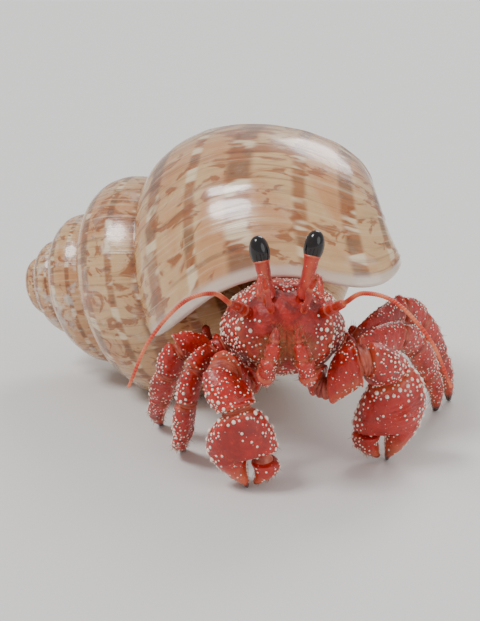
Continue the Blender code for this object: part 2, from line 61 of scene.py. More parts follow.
# Shell: a tube that grows by a fixed share in each turn. Turns are angles back from the lip
GROWTH = 1.53
AXIS_LENGTH = 70.0             # apex to the last section's centre
AXIS_POWER = 1.08
TUBE_OFFSET = 18.2             # axis to the last section's centre
TUBE_RADIUS = 17.3
TUBE_APEX_SIDE = 25.0
TUBE_BASE_SIDE = 32.3
SHOULDER = 38.0
SHOULDER_ANGLE = math.radians(-38.0)
SHELL_YAW = math.radians(22.0)
SHELL_PITCH = math.radians(8.0)
LIP_ANGLE = math.radians(70.0)
LIP_SLANT = 38.0               # degrees
LIP_DIP = 15.0                 # degrees
LIP_DIP_PLACE = math.radians(62.0)
LIP_SPAN = 2.2
SHELL_MIDDLE = np.array((2.2, 6.0, 28.0))
MIDDLE_SHARE = 0.93
CAVITY_BACK = 1.3 * math.pi
APEX_TURN = -30.6
APEX_ROUND = 3.4
LATE_TURN = -14.0              # from here on the rings lie closer together
OLD_TURN = 20.0                # how far back the surface is fully worn
SHELL_SIDES = 116
EARLY_RINGS = 96
LATE_RINGS = 500
INNER_RINGS = 110
GROWTH_RESTS = (-0.16, -0.55, -1.35, -1.62, -2.9, -4.1, -5.3, -6.1, -7.9, -9.6)
LIP_RIDGE = -0.085
BANDS = (                      # coloured bands: place round the tube in degrees, and width
    (-64, 0.09), (-38, 0.12), (-12, 0.07), (10, 0.12), (34, 0.07), (56, 0.10), (80, 0.07))

# Trunk, abdomen and shield
TRUNK_FRONT = np.array((6.5, -46.0, 30.6))
TRUNK_REAR = np.array((6.0, -15.0, 22.4))
TRUNK_HALF_WIDTH = 12.0
TRUNK_HALF_HEIGHT = 9.3
TRUNK_BLUNT = 2.6
WAIST_STEPS = ((0, 0, 0), (0.9, 2.4, -0.4), (2.2, 5.2, 5.4), (1.9, 7.2, 12.6))
ABDOMEN_TURNS = (-0.32, -0.52, -0.72, -0.92, -1.08)     # half turns back from the lip
ABDOMEN_SHIFT = 8.5
EASING = 2                     # how often the abdomen's line is evened out
SHIELD_START = 0.14
SHIELD_END = 0.62
SHIELD_HALF_ANGLE = 62.0
SHIELD_ACROSS = 44             # points across its upper face

# Eyes
EYE_CENTRES = {"right": np.array((1.6, -41.3, 44.0)), "left": np.array((11.5, -41.3, 45.0))}
EYE_HALF_LENGTH = 3.0
EYE_RADIUS = 1.9

# Small limbs: the share along the trunk and the angle from its top at which each stands, its route from there
# on the left side, and the seams along it
STALK_FOOT = (0.085, 26.0)
STALK_SIZES = ((1.8, 1.65), (1.35, 1.3), (1.8, 1.75))
ANTENNA_FOOT = (0.10, 64.0)
ANTENNA_BASE = (3.2, -4.6, 3.0)
ANTENNA_ROUTE = ((0, 0, 0), (3.0, -5.0, 3.2), (8.0, -10.5, 3.0), (13.5, -14.5, -2.5), (17.0, -16.5, -10.0))
WHIP_RINGS = 60
SEAM = 0.018                   # half width of a seam, as a share of the limb
END_RINGS = 5                  # rings that close each end of a tube
ANTENNULE_FOOT = (0.035, 30.0)
ANTENNULE_ROUTE = ((0, 0, 0), (0.3, -5.0, 0.6), (1.2, -7.6, 5.4), (2.2, -11.5, 8.4), (2.6, -14.2, 5.8))
JAW_FOOT = (0.10, 152.0)
JAW_ROUTE = ((0, 0, 0), (-0.1, -3.4, -1.0), (-0.6, -5.6, 1.8), (-1.5, -5.9, 5.6), (-2.0, -5.2, 8.4))
INNER_JAW_FOOT = (0.03, 166.0)
INNER_JAW_ROUTE = ((1.6, -0.2, -0.1), (1.5, 0.8, -0.15), (0.8, 1.15, 0.35), (0.2, 0.9, 1.0))
INNER_JAWS = ((0.55, -2.3, 4.6), (1.25, -1.5, 2.7))     # the route's size in X, Y and Z, for each pair
INNER_JAW_DROP = 0.8
SMALL_LEG_FOOT = (0.80, 112.0)
SMALL_LEG_ROUTE = ((0, (0, 0, 0)), (2.4, (0, 0.4, 0.2)), (4.2, (0, 0.8, 2.4)), (4.8, (0, 0.8, 5.0)))

# Limbs: a place on the trunk and the joint points after the short base
LEGS = {
    "front_leg_left": dict(share=0.44, angle=112, joints=(
        (30.2, -23.4, 22.3), (34.2, -17.6, 18.6), (38.6, -11.6, 10.0), (41.0, -7.0, 0.0))),
    "rear_leg_left": dict(share=0.62, angle=110, joints=(
        (31.5, -15.3, 25.6), (36.2, -10.3, 21.8), (41.5, -5.0, 12.2), (45.0, -0.5, 0.0))),
    "front_leg_right": dict(share=0.48, angle=-114, joints=(
        (-10.8, -39.6, 19.9), (-12.2, -40.6, 14.6), (-12.9, -37.0, 6.8), (-13.5, -29.0, 0.0))),
    "rear_leg_right": dict(share=0.66, angle=-112, joints=(
        (-14.1, -29.6, 21.4), (-16.3, -28.6, 16.2), (-18.1, -23.8, 8.9), (-18.8, -15.5, 0.0))),
}
BASE_LENGTH = 3.0              # of a leg: each arm states its own
LEG_PARTS = ("base", "merus", "carpus", "propodus", "dactyl")
STEEPEST_MITRE = 40.0
JOINT_RADIUS = 5.6
FLOOR = (np.zeros(3), -UP)
BOWS = {"merus": 0.5, "carpus": 0.4, "propodus": 0.4, "dactyl": 0.9}
LEG_SIZES = {                  # half height and half thickness at the near end, the middle and the far end
    "base": ((2.3, 2.1), (2.5, 2.2), (2.2, 1.9)),
    "merus": ((2.3, 1.8), (3.0, 2.0), (2.8, 2.0)),
    "carpus": ((2.3, 1.9), (2.8, 2.1), (2.6, 2.0)),
    "propodus": ((2.4, 1.9), (2.6, 1.9), (2.2, 1.6)),
    "dactyl": ((2.1, 1.5), (1.7, 1.3), (0.55, 0.5)),
}
ARMS = {
    "cheliped_right": dict(share=0.34, angle=-150, base=3.8, inner=1.0, width=13.2, thick=7.0,
                           joints=((-5.8, -44.6, 21.8), (-2.4, -49.0, 16.2)), tip=(-1.0, -47.4, 0.0)),
    "cheliped_left": dict(share=0.34, angle=150, base=4.8, inner=-1.0, width=14.0, thick=8.0,
                          joints=((21.0, -41.8, 23.6), (26.9, -36.8, 19.2)), tip=(27.4, -34.2, 0.0)),
}
ARM_PARTS = ("base", "merus", "carpus")
ARM_SIZES = {
    "base": ((2.6, 2.4), (2.8, 2.5), (2.6, 2.3)),
    "merus": ((2.7, 2.4), (3.7, 2.9), (3.7, 3.0)),
    "carpus": ((3.3, 3.0), (4.3, 3.9), (3.5, 3.2)),
}
FINGER_START = 0.58            # shares of the claw's length
FINGER_END = 0.96
SOCKET = 0.065
FIRST_TOOTH = 0.66
LAST_TOOTH = 0.93

# Beads and bristles by the kind of surface
GRANULES = {                   # smallest and largest radius, and beads tried on each square millimetre
    "palm": (0.22, 0.66, 4.5), "finger": (0.20, 0.50, 4.5), "body": (0.20, 0.58, 2.6),
    "shield": (0.16, 0.42, 3.5), "dactyl": (0.16, 0.36, 5.0), "base": (0.16, 0.30, 3.0),
    "merus": (0.18, 0.40, 3.5), "carpus": (0.18, 0.48, 4.5), "propodus": (0.18, 0.44, 5.0),
    "jaw": (0.12, 0.24, 3.0),
}
SEGMENT_BEADS = {"base": 0.15, "merus": 0.40, "carpus": 0.75, "propodus": 0.9}
HAIRS = {                      # hairs on each square millimetre, length and lean along the limb
    "dactyl": (1.5, 1.4, 1.1), "propodus": (0.8, 1.4, 1.0), "carpus": (0.4, 1.2, 1.0),
    "merus": (0.3, 1.1, 1.0), "palm": (0.35, 1.0, 0.9), "finger": (0.9, 1.2, 0.9),
    "jointed": (2.6, 1.4, 0.7), "jaw": (5.0, 2.1, 0.5),
}
TILES = 6                      # surfaces share a map of this many tiles each way
TILE_EDGE = 0.004
TILE_USED = 0.155
GRANULE_SEED = 100
HAIR_SEED = 500

surfaces = {}                  # armour surfaces by name, on which granules and hairs are set


# ---------------------------------------------------------------- small tools

def unit(v):
    """Directions brought to length 1."""
    return v / np.maximum(np.linalg.norm(v, axis=-1, keepdims=True), 1e-12)


def smooth(x, low, high):
    """Ease from 0 at low to 1 at high."""
    u = np.clip((x - low) / (high - low), 0.0, 1.0)
    return u * u * (3.0 - 2.0 * u)


def hump(x, middle, width):
    """Bell curve of height 1 about a middle."""
    return np.exp(-((x - middle) / width) ** 2)


def three_way(u, near, middle, far):
    """Quadratic through three values at 0, a half and 1."""
    return near * (1 - u) * (1 - 2 * u) + middle * 4 * u * (1 - u) + far * u * (2 * u - 1)


def ripple(points, size, seed, waves=7):
    """Smooth unevenness between about -1 and 1: the mean of sine waves of about one length that run in
    different directions through space."""
    rng = np.random.default_rng(seed)
    ways = unit(rng.normal(size=(waves, 3))) * (TURN / (size * rng.uniform(0.6, 1.5, waves)))[:, None]
    return np.sin(points @ ways.T + rng.uniform(0, TURN, waves)).sum(-1) / waves ** 0.5 * 0.8


def circle(sides):
    """Angles at equal steps round a ring."""
    return TURN * np.arange(sides) / sides


def wrapped(angle):
    """An angle brought to between minus a half turn and a half turn."""
    return (angle + math.pi) % TURN - math.pi


def normals(grid):
    """Outward directions of a grid that is closed in its second parameter: across both of its ways."""
    n = unit(np.cross(np.gradient(grid, axis=0), np.roll(grid, -1, 1) - np.roll(grid, 1, 1)))
    inward = (n * (grid - grid.mean(axis=1, keepdims=True))).sum() < 0
    return -n if inward else n


def raised(grid, height):
    """A grid moved outwards by a height at each point."""
    return grid + normals(grid) * height[..., None]


def curve_through(points, steps):
    """A smooth curve through the points, as Catmull-Rom pieces."""
    points = [np.asarray(p, float) for p in points]
    ends = np.array([points[0] * 2 - points[1], *points, points[-1] * 2 - points[-2]])
    u = (np.arange(steps) / steps)[None, :, None]
    a, b, c, d = (ends[k:len(ends) - 3 + k][:, None] for k in range(4))
    line = 0.5 * (2 * b + (c - a) * u + (2 * a - 5 * b + 4 * c - d) * u * u
                  + (3 * b - a - 3 * c + d) * u ** 3)
    return np.vstack([line.reshape(-1, 3), points[-1]])


# ---------------------------------------------------------------- meshes from grids

def grid_part(grid, values=None):
    """A closed body from a grid of rings: quads between the rings and a fan to a pole at each end. Its map
    runs along the rings and round them. A value may be one number, a column, a row or a whole grid."""
    rings, sides = grid.shape[:2]
    i, j = np.meshgrid(np.arange(rings - 1), np.arange(sides), indexing="ij")
    after = (j + 1) % sides
    quads = np.stack([i * sides + j, i * sides + after, (i + 1) * sides + after, (i + 1) * sides + j], -1)
    u = np.linspace(0, 1, rings)
    quad_uv = np.stack([np.stack([u[i], u[i], u[i + 1], u[i + 1]], -1),
                        np.stack([j, j + 1, j + 1, j], -1) / sides], -1)
    k = np.arange(sides)
    near, far = rings * sides, rings * sides + 1
    last = (rings - 1) * sides
    tris = np.concatenate([np.stack([(k + 1) % sides, k, np.full(sides, near)], -1),
                           np.stack([last + k, last + (k + 1) % sides, np.full(sides, far)], -1)])
    side_uv = np.stack([k + 1, k, k + 0.5], -1) / sides
    tri_uv = np.concatenate([np.stack([np.zeros((sides, 3)), side_uv], -1),
                             np.stack([np.ones((sides, 3)), side_uv[:, [1, 0, 2]]], -1)])
    kept = {}
    for name, value in (values or {}).items():
        value = np.broadcast_to(value, grid.shape[:2] + np.shape(value)[2:])
        flat = value.reshape((rings * sides,) + value.shape[2:])
        kept[name] = np.concatenate([flat, value[0].mean(0)[None], value[-1].mean(0)[None]])
    return facing_out(dict(points=np.vstack([grid.reshape(-1, 3), grid[0].mean(0), grid[-1].mean(0)]),
                           quads=quads.reshape(-1, 4), tris=tris, values=kept,
                           quad_uv=quad_uv.reshape(-1, 4, 2), tri_uv=tri_uv))


def facing_out(part):
    """Turns all faces round if the body's signed volume is below nothing."""
    p, q = part["points"] - part["points"].mean(0), part["quads"]
    t = np.concatenate([q[:, [0, 1, 2]], q[:, [0, 2, 3]], part["tris"]])
    if np.einsum("ij,ij->", p[t[:, 0]], np.cross(p[t[:, 1]], p[t[:, 2]])) < 0:
        for key in ("quads", "tris", "quad_uv", "tri_uv"):
            part[key] = part[key][:, ::-1]
    return part


def joined(parts):
    """Several bodies as one, their arrays set end to end."""
    starts = np.cumsum([0] + [len(p["points"]) for p in parts])
    whole = {key: np.concatenate([p[key] for p in parts]) for key in ("points", "quad_uv", "tri_uv")}
    for key in ("quads", "tris"):
        whole[key] = np.concatenate([p[key] + s for p, s in zip(parts, starts)])
    whole["values"] = {name: np.concatenate([p["values"][name] for p in parts])
                       for name in parts[0]["values"]}
    return whole


def add_piece(name, part, look, replaces=(), map_name="UVMap"):
    """A mesh object from whole arrays, in metres and nowhere below the floor, that rides on the crab's one
    body and has the material named by its look."""
    mesh = bpy.data.meshes.new(name)
    points = (part["points"] + SHIFT) * MM
    points[:, 2] = np.maximum(points[:, 2], 0.0)
    quads, tris = part["quads"], part["tris"]
    mesh.vertices.add(len(points))
    mesh.vertices.foreach_set("co", points.ravel())
    corners = np.concatenate([quads.ravel(), tris.ravel()]).astype(np.int32)
    mesh.loops.add(len(corners))
    mesh.loops.foreach_set("vertex_index", corners)
    starts = np.concatenate([np.arange(len(quads)) * 4, len(quads) * 4 + np.arange(len(tris)) * 3])
    mesh.polygons.add(len(starts))
    mesh.polygons.foreach_set("loop_start", starts.astype(np.int32))
    mesh.update(calc_edges=True)
    uv = np.concatenate([part["quad_uv"].reshape(-1, 2), part["tri_uv"].reshape(-1, 2)])
    mesh.uv_layers.new(name=map_name).data.foreach_set("uv", uv.ravel())
    for key, value in part["values"].items():
        kind, place = ("FLOAT", "value") if value.ndim == 1 else ("FLOAT_VECTOR", "vector")
        mesh.attributes.new(key, kind, "POINT").data.foreach_set(place, np.ascontiguousarray(value).ravel())
    mesh.shade_smooth()
    mesh.materials.append(material(look))
    piece = bpy.data.objects.new(name, mesh)
    bpy.context.scene.collection.objects.link(piece)
    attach(piece, "root")
    if replaces:
        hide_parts(*replaces)


def add_armour(name, node, kind, grid, pale, tip=0.0, look="armour"):
    """A hard piece in its node's place, if it has one, kept as a surface for granules and hairs."""
    add_piece(name, grid_part(grid, dict(tip=tip, pale=pale)), look, (node,) if node else ())
    surfaces[node or name] = dict(grid=grid, kind=kind)


# ---------------------------------------------------------------- materials

class Shader:
    """A material's node tree, built by calls that each return a socket."""

    def __init__(self, name, **fixed):
        self.material = bpy.data.materials.new(name)
        self.material.use_nodes = True
        self.tree = self.material.node_tree
        self.surface = self.tree.nodes["Principled BSDF"]
        for key, value in fixed.items():
            self.surface.inputs[key.replace("_", " ")].default_value = value
        self.place = self.node("ShaderNodeTexCoord").outputs["Object"]

    def node(self, kind, inputs=None, **fixed):
        """A node with its settings made, and its named inputs fed by sockets or set to values."""
        node = self.tree.nodes.new(kind)
        for key, value in fixed.items():
            setattr(node, key, value)
        for key, value in (inputs or {}).items():
            self.feed(node.inputs[key], value)
        return node

    def feed(self, socket, value):
        """Links a socket to an input, or sets the input to a plain value."""
        if isinstance(value, bpy.types.NodeSocket):
            self.tree.links.new(value, socket)
        elif value is not None:
            socket.default_value = value

    def attribute(self, name, output="Fac"):
        """What the mesh itself holds at each point under that name."""
        return self.node("ShaderNodeAttribute", attribute_name=name).outputs[output]

    def noise(self, scale, detail, rough=0.5, vector=None, bend=0.0):
        """Clouds about 1 / scale across, from 0 to 1."""
        inputs = {"Vector": vector or self.place, "Scale": scale, "Detail": detail, "Roughness": rough,
                  "Distortion": bend}
        return self.node("ShaderNodeTexNoise", inputs).outputs["Fac"]

    def cells(self, scale, feature="F1"):
        """Distance to the nearest of many scattered points, or to the edge between two."""
        inputs = {"Vector": self.place, "Scale": scale}
        return self.node("ShaderNodeTexVoronoi", inputs, feature=feature).outputs["Distance"]

    def math(self, operation, a, b):
        """Two values combined by one operation."""
        return self.node("ShaderNodeMath", {0: a, 1: b}, operation=operation).outputs[0]

    def stretch(self, vector, scale):
        """A place scaled along each of its three ways."""
        inputs = {"Vector": vector, "Scale": scale}
        return self.node("ShaderNodeMapping", inputs, vector_type="POINT").outputs[0]

    def between(self, value, low, high, to_low=0.0, to_high=1.0):
        """An easing step from one value to another as the input goes from low to high."""
        inputs = {"Value": value, "From Min": low, "From Max": high, "To Min": to_low, "To Max": to_high}
        return self.node("ShaderNodeMapRange", inputs, interpolation_type="SMOOTHSTEP").outputs["Result"]

    def mix(self, share, first, second):
        """Two colours, each a socket or three numbers, mixed by a share."""
        first, second = (c if isinstance(c, bpy.types.NodeSocket) else (*c[:3], 1.0) for c in (first, second))
        node = self.node("ShaderNodeMix", data_type="RGBA", blend_type="MIX")
        for place, value in ((0, share), (6, first), (7, second)):
            self.feed(node.inputs[place], value)
        return node.outputs[2]

    def over(self, colour, other, value, low, high, most=1.0, least=0.0):
        """Another colour laid on, as the value goes from low to high."""
        return self.mix(self.between(value, low, high, least, most), colour, other)

    def bump(self, height, strength, depth, normal=None):
        """Relief of a depth in metres, laid over an earlier one."""
        inputs = {"Strength": strength, "Distance": depth, "Height": height, "Normal": normal}
        return self.node("ShaderNodeBump", inputs).outputs["Normal"]

    def finish(self, colour, roughness, normal=None):
        """Feeds the surface and gives the finished material."""
        for key, value in (("Base Color", colour), ("Roughness", roughness), ("Normal", normal)):
            self.feed(self.surface.inputs[key], value)
        return self.material


def shell_material(name, look):
    """Glossy turban shell: cream with honey bands round the turns that break into dark and cream dashes,
    ragged flames and growth lines across them, worn and chalky towards the point, and pearl within."""
    s = Shader(name, Coat_Weight=0.5, Coat_Roughness=0.10, IOR=1.52)
    growth = s.attribute("growth", "Vector")
    inside = s.attribute("inside")
    cloud = s.noise(1.0, 3.0, 0.55, s.stretch(growth, (1.6, 1.6, 2.2)), 0.6)
    flame = s.noise(1.0, 3.0, 0.55, s.stretch(growth, (2.6, 2.6, 6.5)), 1.3)
    dash = s.noise(1.0, 2.0, 0.5, s.stretch(growth, (2.0, 2.0, 9.0)), 0.3)
    streak = s.noise(1.0, 4.0, 0.65, s.stretch(growth, (0.7, 0.7, 26.0)))
    fine = s.noise(1.0, 2.0, 0.6, s.stretch(growth, (1.0, 1.0, 90.0)))
    colour = s.over(look.shell_cream, look.shell_peach, cloud, 0.40, 0.62, 0.75)
    colour = s.over(colour, look.shell_honey, flame, 0.53, 0.61, 0.80)
    banded = s.over(look.shell_honey, look.shell_brown, dash, 0.50, 0.58)
    banded = s.over(banded, look.shell_light, dash, 0.45, 0.38)
    colour = s.mix(s.math("MULTIPLY", s.between(s.attribute("band"), 0.40, 0.80), 0.75), colour, banded)
    colour = s.over(colour, look.shell_brown, streak, 0.52, 0.70, 0.50)
    colour = s.over(colour, look.shell_light, streak, 0.46, 0.30, 0.35)
    age = s.between(s.attribute("age"), 0.10, 0.85, 0.12, 1.0)
    worn = s.math("MULTIPLY", s.between(s.noise(260.0, 5.0, 0.65), 0.50, 0.66), age)
    colour = s.mix(s.math("MULTIPLY", worn, 0.75), colour, look.shell_chalk)
    colour = s.over(colour, look.shell_stain, s.noise(90.0, 4.0, 0.6), 0.58, 0.78, 0.30)
    colour = s.mix(inside, colour, s.mix(s.noise(120.0, 2.0), look.pearl, look.pearl_warm))
    rough = s.math("ADD", s.between(worn, 0.0, 1.0, 0.20, 0.55), s.between(fine, 0.3, 0.7, 0.0, 0.08))
    rough = s.math("MULTIPLY", rough, s.between(inside, 0.0, 1.0, 1.0, 0.75))
    lines = s.math("ADD", s.math("MULTIPLY", streak, 0.8), s.math("MULTIPLY", fine, 0.25))
    lines = s.math("MULTIPLY", lines, s.between(inside, 0.0, 1.0, 1.0, 0.15))
    normal = s.bump(lines, 0.30, 0.0004)
    return s.finish(colour, rough, s.bump(s.math("MULTIPLY", worn, -1.0), 0.25, 0.0002, normal))


def armour_material(name, look, coat=0.25):
    """Hard red skin: mottled, freckled, finely wrinkled, paler where the piece says so and horn-dark at
    claw tips."""
    s = Shader(name, Coat_Weight=coat, Coat_Roughness=0.2, Subsurface_Weight=0.06, Subsurface_Scale=0.0012,
               Subsurface_Radius=(1.0, 0.3, 0.15))
    cloud = s.noise(210.0, 4.0, 0.6, bend=0.4)
    grain = s.noise(900.0, 3.0, 0.6)
    tip = s.attribute("tip")
    colour = s.over(look.armour_dark, look.armour_colour, cloud, 0.28, 0.58, 1.0, 0.25)
    colour = s.over(colour, look.armour_light, cloud, 0.60, 0.80, 0.6)
    colour = s.over(colour, look.armour_light, grain, 0.56, 0.72, 0.45)
    colour = s.over(colour, look.armour_dark, grain, 0.40, 0.26, 0.55)
    colour = s.over(colour, look.granule_colour, s.cells(1300.0), 0.16, 0.07, 0.65)
    colour = s.mix(s.math("MULTIPLY", s.attribute("pale"), 0.8), colour, look.armour_pale)
    colour = s.mix(tip, colour, look.tip_colour)
    rough = s.math("MULTIPLY", s.between(grain, 0.3, 0.7, 0.30, 0.50), s.between(tip, 0.0, 1.0, 1.0, 0.6))
    normal = s.bump(s.noise(620.0, 3.0, 0.6, bend=1.2), 0.45, 0.0004)
    return s.finish(colour, rough, s.bump(s.cells(2100.0), 0.22, 0.00016, normal))


def claw_material(name, look):
    """The same hard skin with more gloss."""
    return armour_material(name, look, 0.35)


def joint_material(name, look):
    """Soft skin: two tones in clouds, small folds with painted shade in their hollows, and a moist shine."""
    s = Shader(name, Subsurface_Weight=0.18, Subsurface_Scale=0.002, Subsurface_Radius=(1.0, 0.35, 0.2),
               Coat_Weight=0.15, Coat_Roughness=0.3)
    colour = s.over(look.joint_colour, look.joint_light, s.noise(400.0, 4.0, 0.6), 0.35, 0.66)
    folds = s.noise(480.0, 4.0, 0.6, bend=1.0)
    # painted shade: a darker copy of the joint colour where the folds' bump is low, in their hollows
    colour = s.over(colour, tuple(c * 0.45 for c in look.joint_colour), folds, 0.45, 0.28, 0.4)
    return s.finish(colour, s.between(folds, 0.3, 0.7, 0.56, 0.32), s.bump(folds, 0.4, 0.0004))


def body_material(name, look):
    """Trunk and abdomen: firm and red in front and on the flanks, soft and pink behind, paler about the
    mouth, with small folds, painted shade in the folds' hollows, and a moist shine."""
    s = Shader(name, Subsurface_Weight=0.12, Subsurface_Scale=0.0015, Subsurface_Radius=(1.0, 0.35, 0.2),
               Coat_Weight=0.1, Coat_Roughness=0.25)
    cloud = s.noise(230.0, 4.0, 0.6, bend=0.5)
    folds = s.noise(480.0, 4.0, 0.6, bend=1.0)
    soft = s.over(look.flesh_colour, look.flesh_light, cloud, 0.35, 0.66)
    firm = s.over(look.armour_dark, look.armour_colour, cloud, 0.35, 0.66)
    firm = s.over(firm, look.armour_light, s.noise(900.0, 3.0, 0.6), 0.56, 0.72, 0.5)
    colour = s.mix(s.attribute("hard"), soft, firm)
    colour = s.mix(s.math("MULTIPLY", s.attribute("pale"), 0.8), colour, look.armour_pale)
    # painted shade: darker where the folds' bump is low, in their hollows
    colour = s.over(colour, look.armour_dark, folds, 0.45, 0.28, 0.45)
    normal = s.bump(s.cells(1500.0), 0.45, 0.0002, s.bump(folds, 0.6, 0.0005))
    return s.finish(colour, s.between(folds, 0.3, 0.7, 0.58, 0.38), normal)


def granule_material(name, look):
    """Pearl-white bead with a little of the red at its foot."""
    s = Shader(name, Coat_Weight=0.3, Coat_Roughness=0.15, Subsurface_Weight=0.1, Subsurface_Scale=0.0006)
    colour = s.over(look.granule_colour, look.granule_warm, s.noise(700.0, 2.0), 0.35, 0.65)
    colour = s.over(colour, look.armour_light, s.attribute("crown"), 0.55, 0.05)
    return s.finish(colour, 0.32, s.bump(s.noise(3000.0, 2.0), 0.15, 0.0001))


def hair_material(name, look):
    """Horny bristle in two browns."""
    s = Shader(name)
    return s.finish(s.mix(s.noise(500.0, 2.0), look.hair_colour, look.hair_dark), 0.45)


def cornea_material(name, look):
    """Black eye, glossy, with a faint net of facets and a brown depth."""
    s = Shader(name, Coat_Weight=0.35, Coat_Roughness=0.04, IOR=1.38)
    net = s.cells(9000.0, "DISTANCE_TO_EDGE")
    colour = s.over(look.cornea_colour, look.cornea_brown, s.noise(420.0, 3.0), 0.45, 0.8)
    colour = s.over(colour, look.cornea_net, net, 0.10, 0.02, 0.3)
    return s.finish(colour, 0.16, s.bump(net, 0.05, 0.00003))


def feeler_material(name, look):
    """Jointed whip: red-orange rings with darker seams between them."""
    s = Shader(name, Coat_Weight=0.2, Coat_Roughness=0.25)
    ring = s.attribute("ring")
    colour = s.over(look.armour_light, look.armour_colour, ring, 0.30, 0.85)
    colour = s.over(colour, look.armour_dark, s.noise(300.0, 2.0), 0.5, 0.75, 0.5)
    colour = s.mix(s.math("MULTIPLY", s.attribute("pale"), 0.7), colour, look.armour_pale)
    return s.finish(colour, 0.38, s.bump(ring, 0.4, 0.0001))


def tooth_material(name, look):
    """Chalky white, stained at random."""
    s = Shader(name, Coat_Weight=0.4, Coat_Roughness=0.1)
    return s.finish(s.mix(s.noise(800.0, 2.0), look.tooth_colour, look.tooth_stain), 0.25)


# Their names differ from the slots', whose plain materials the frame brings
MATERIALS = {
    "turban_shell": shell_material, "armour": armour_material, "shield": armour_material,
    "claw_armour": claw_material, "joint_skin": joint_material, "body_skin": body_material,
    "granule": granule_material, "hair": hair_material, "black_cornea": cornea_material,
    "feeler": feeler_material, "tooth": tooth_material,
}


def settings():
    """The sizes and colours that the user can change."""
    return bpy.context.scene.hermit_crab_look


def material(name):
    """The material of that name, made the first time it is asked for."""
    return bpy.data.materials.get(name) or MATERIALS[name](name, settings())


# ---------------------------------------------------------------- shell

def shell_axes():
    """The way along the shell's axis to its base, two ways across it and the place of its point."""
    level = np.array((math.cos(SHELL_YAW), -math.sin(SHELL_YAW), 0.0))
    along = level * math.cos(SHELL_PITCH) + UP * math.sin(SHELL_PITCH)
    top = unit(UP - along * along[2])
    front = np.cross(along, top)
    return along, top, front, SHELL_MIDDLE - along * (AXIS_LENGTH * MIDDLE_SHARE)


def shell_point(turn, around, grow=0.0):
    """The tube: its section is an oval whose size falls by a fixed share in each turn back from the lip. The
    section's centre runs round the axis and towards the point as it shrinks, the earlier turns are fuller
    beside the seam, and near the lip the section slants."""
    along, top, front, start = shell_axes()
    base_ward = np.sin(around)
    lead = LIP_SLANT * ((1.0 - base_ward) / 2.0) ** 1.5
    lead = lead + LIP_DIP * np.maximum(0.0, np.cos(around - LIP_DIP_PLACE)) ** 6
    turn = turn + np.radians(lead) * np.clip((turn + LIP_SPAN) / LIP_SPAN, 0.0, 1.0)
    size = GROWTH ** (turn / TURN)
    reach = np.where(base_ward > 0, TUBE_BASE_SIDE, TUBE_APEX_SIDE) * size + grow
    axial = AXIS_LENGTH * size ** AXIS_POWER + reach * base_ward
    radial = TUBE_OFFSET * size + (TUBE_RADIUS * size + grow) * np.cos(around)
    fullness = SHOULDER * np.clip(1 - size, 0, 1) ** 1.5 * size ** 2
    radial = radial + fullness * np.maximum(0.0, np.cos(around - SHOULDER_ANGLE)) ** 2
    angle = LIP_ANGLE + turn
    outward = top * np.cos(angle)[..., None] + front * np.sin(angle)[..., None]
    return start + along * axial[..., None] + outward * radial[..., None]


def shell_centre(turn, shift=0.0):
    """The section's centre without the lip's slant, moved towards the base."""
    along, top, front, start = shell_axes()
    turn = np.asarray(turn, float)[..., None]
    size = GROWTH ** (turn / TURN)
    angle = LIP_ANGLE + turn
    outward = top * np.cos(angle) + front * np.sin(angle)
    return start + along * (AXIS_LENGTH * size ** AXIS_POWER + shift * size) + outward * (TUBE_OFFSET * size)


def shell_relief(turn, around):
    """Small heights on the outside: low ridges where growth once rested, faint cords round the turns, and
    slow unevenness, all shrinking with the shell, and a ridge behind the lip."""
    height = 0.05 * np.cos(22 * around) + 0.05 * np.sin(9 * turn + 2 * np.sin(around))
    for rest in GROWTH_RESTS:
        wander = turn + 0.03 * np.sin(3 * around + 7 * rest)
        height = height + 0.20 * hump(wander, rest, 0.022) - 0.12 * hump(wander, rest + 0.05, 0.03)
    height = height * smooth(-turn, 0.09, 0.14) + 0.30 * hump(turn, LIP_RIDGE, 0.02)
    return height * GROWTH ** (turn / TURN)


def closed_point(outside, outer):
    """The earliest turn drawn in to the axis as a round dome: its sections shrink as a quarter circle and
    their centres move to the axis."""
    along, _, _, start = shell_axes()
    early = np.clip((APEX_TURN + APEX_ROUND - outer) / APEX_ROUND, 0, 1)
    centre = shell_centre(outer)
    axis = start + along * ((centre - start) @ along)[..., None]
    outside = centre + (outside - centre) * np.maximum(np.sqrt(1 - early ** 2), 0.02)[..., None]
    return outside + (axis - centre) * smooth(early, 0.0, 0.8)[..., None]


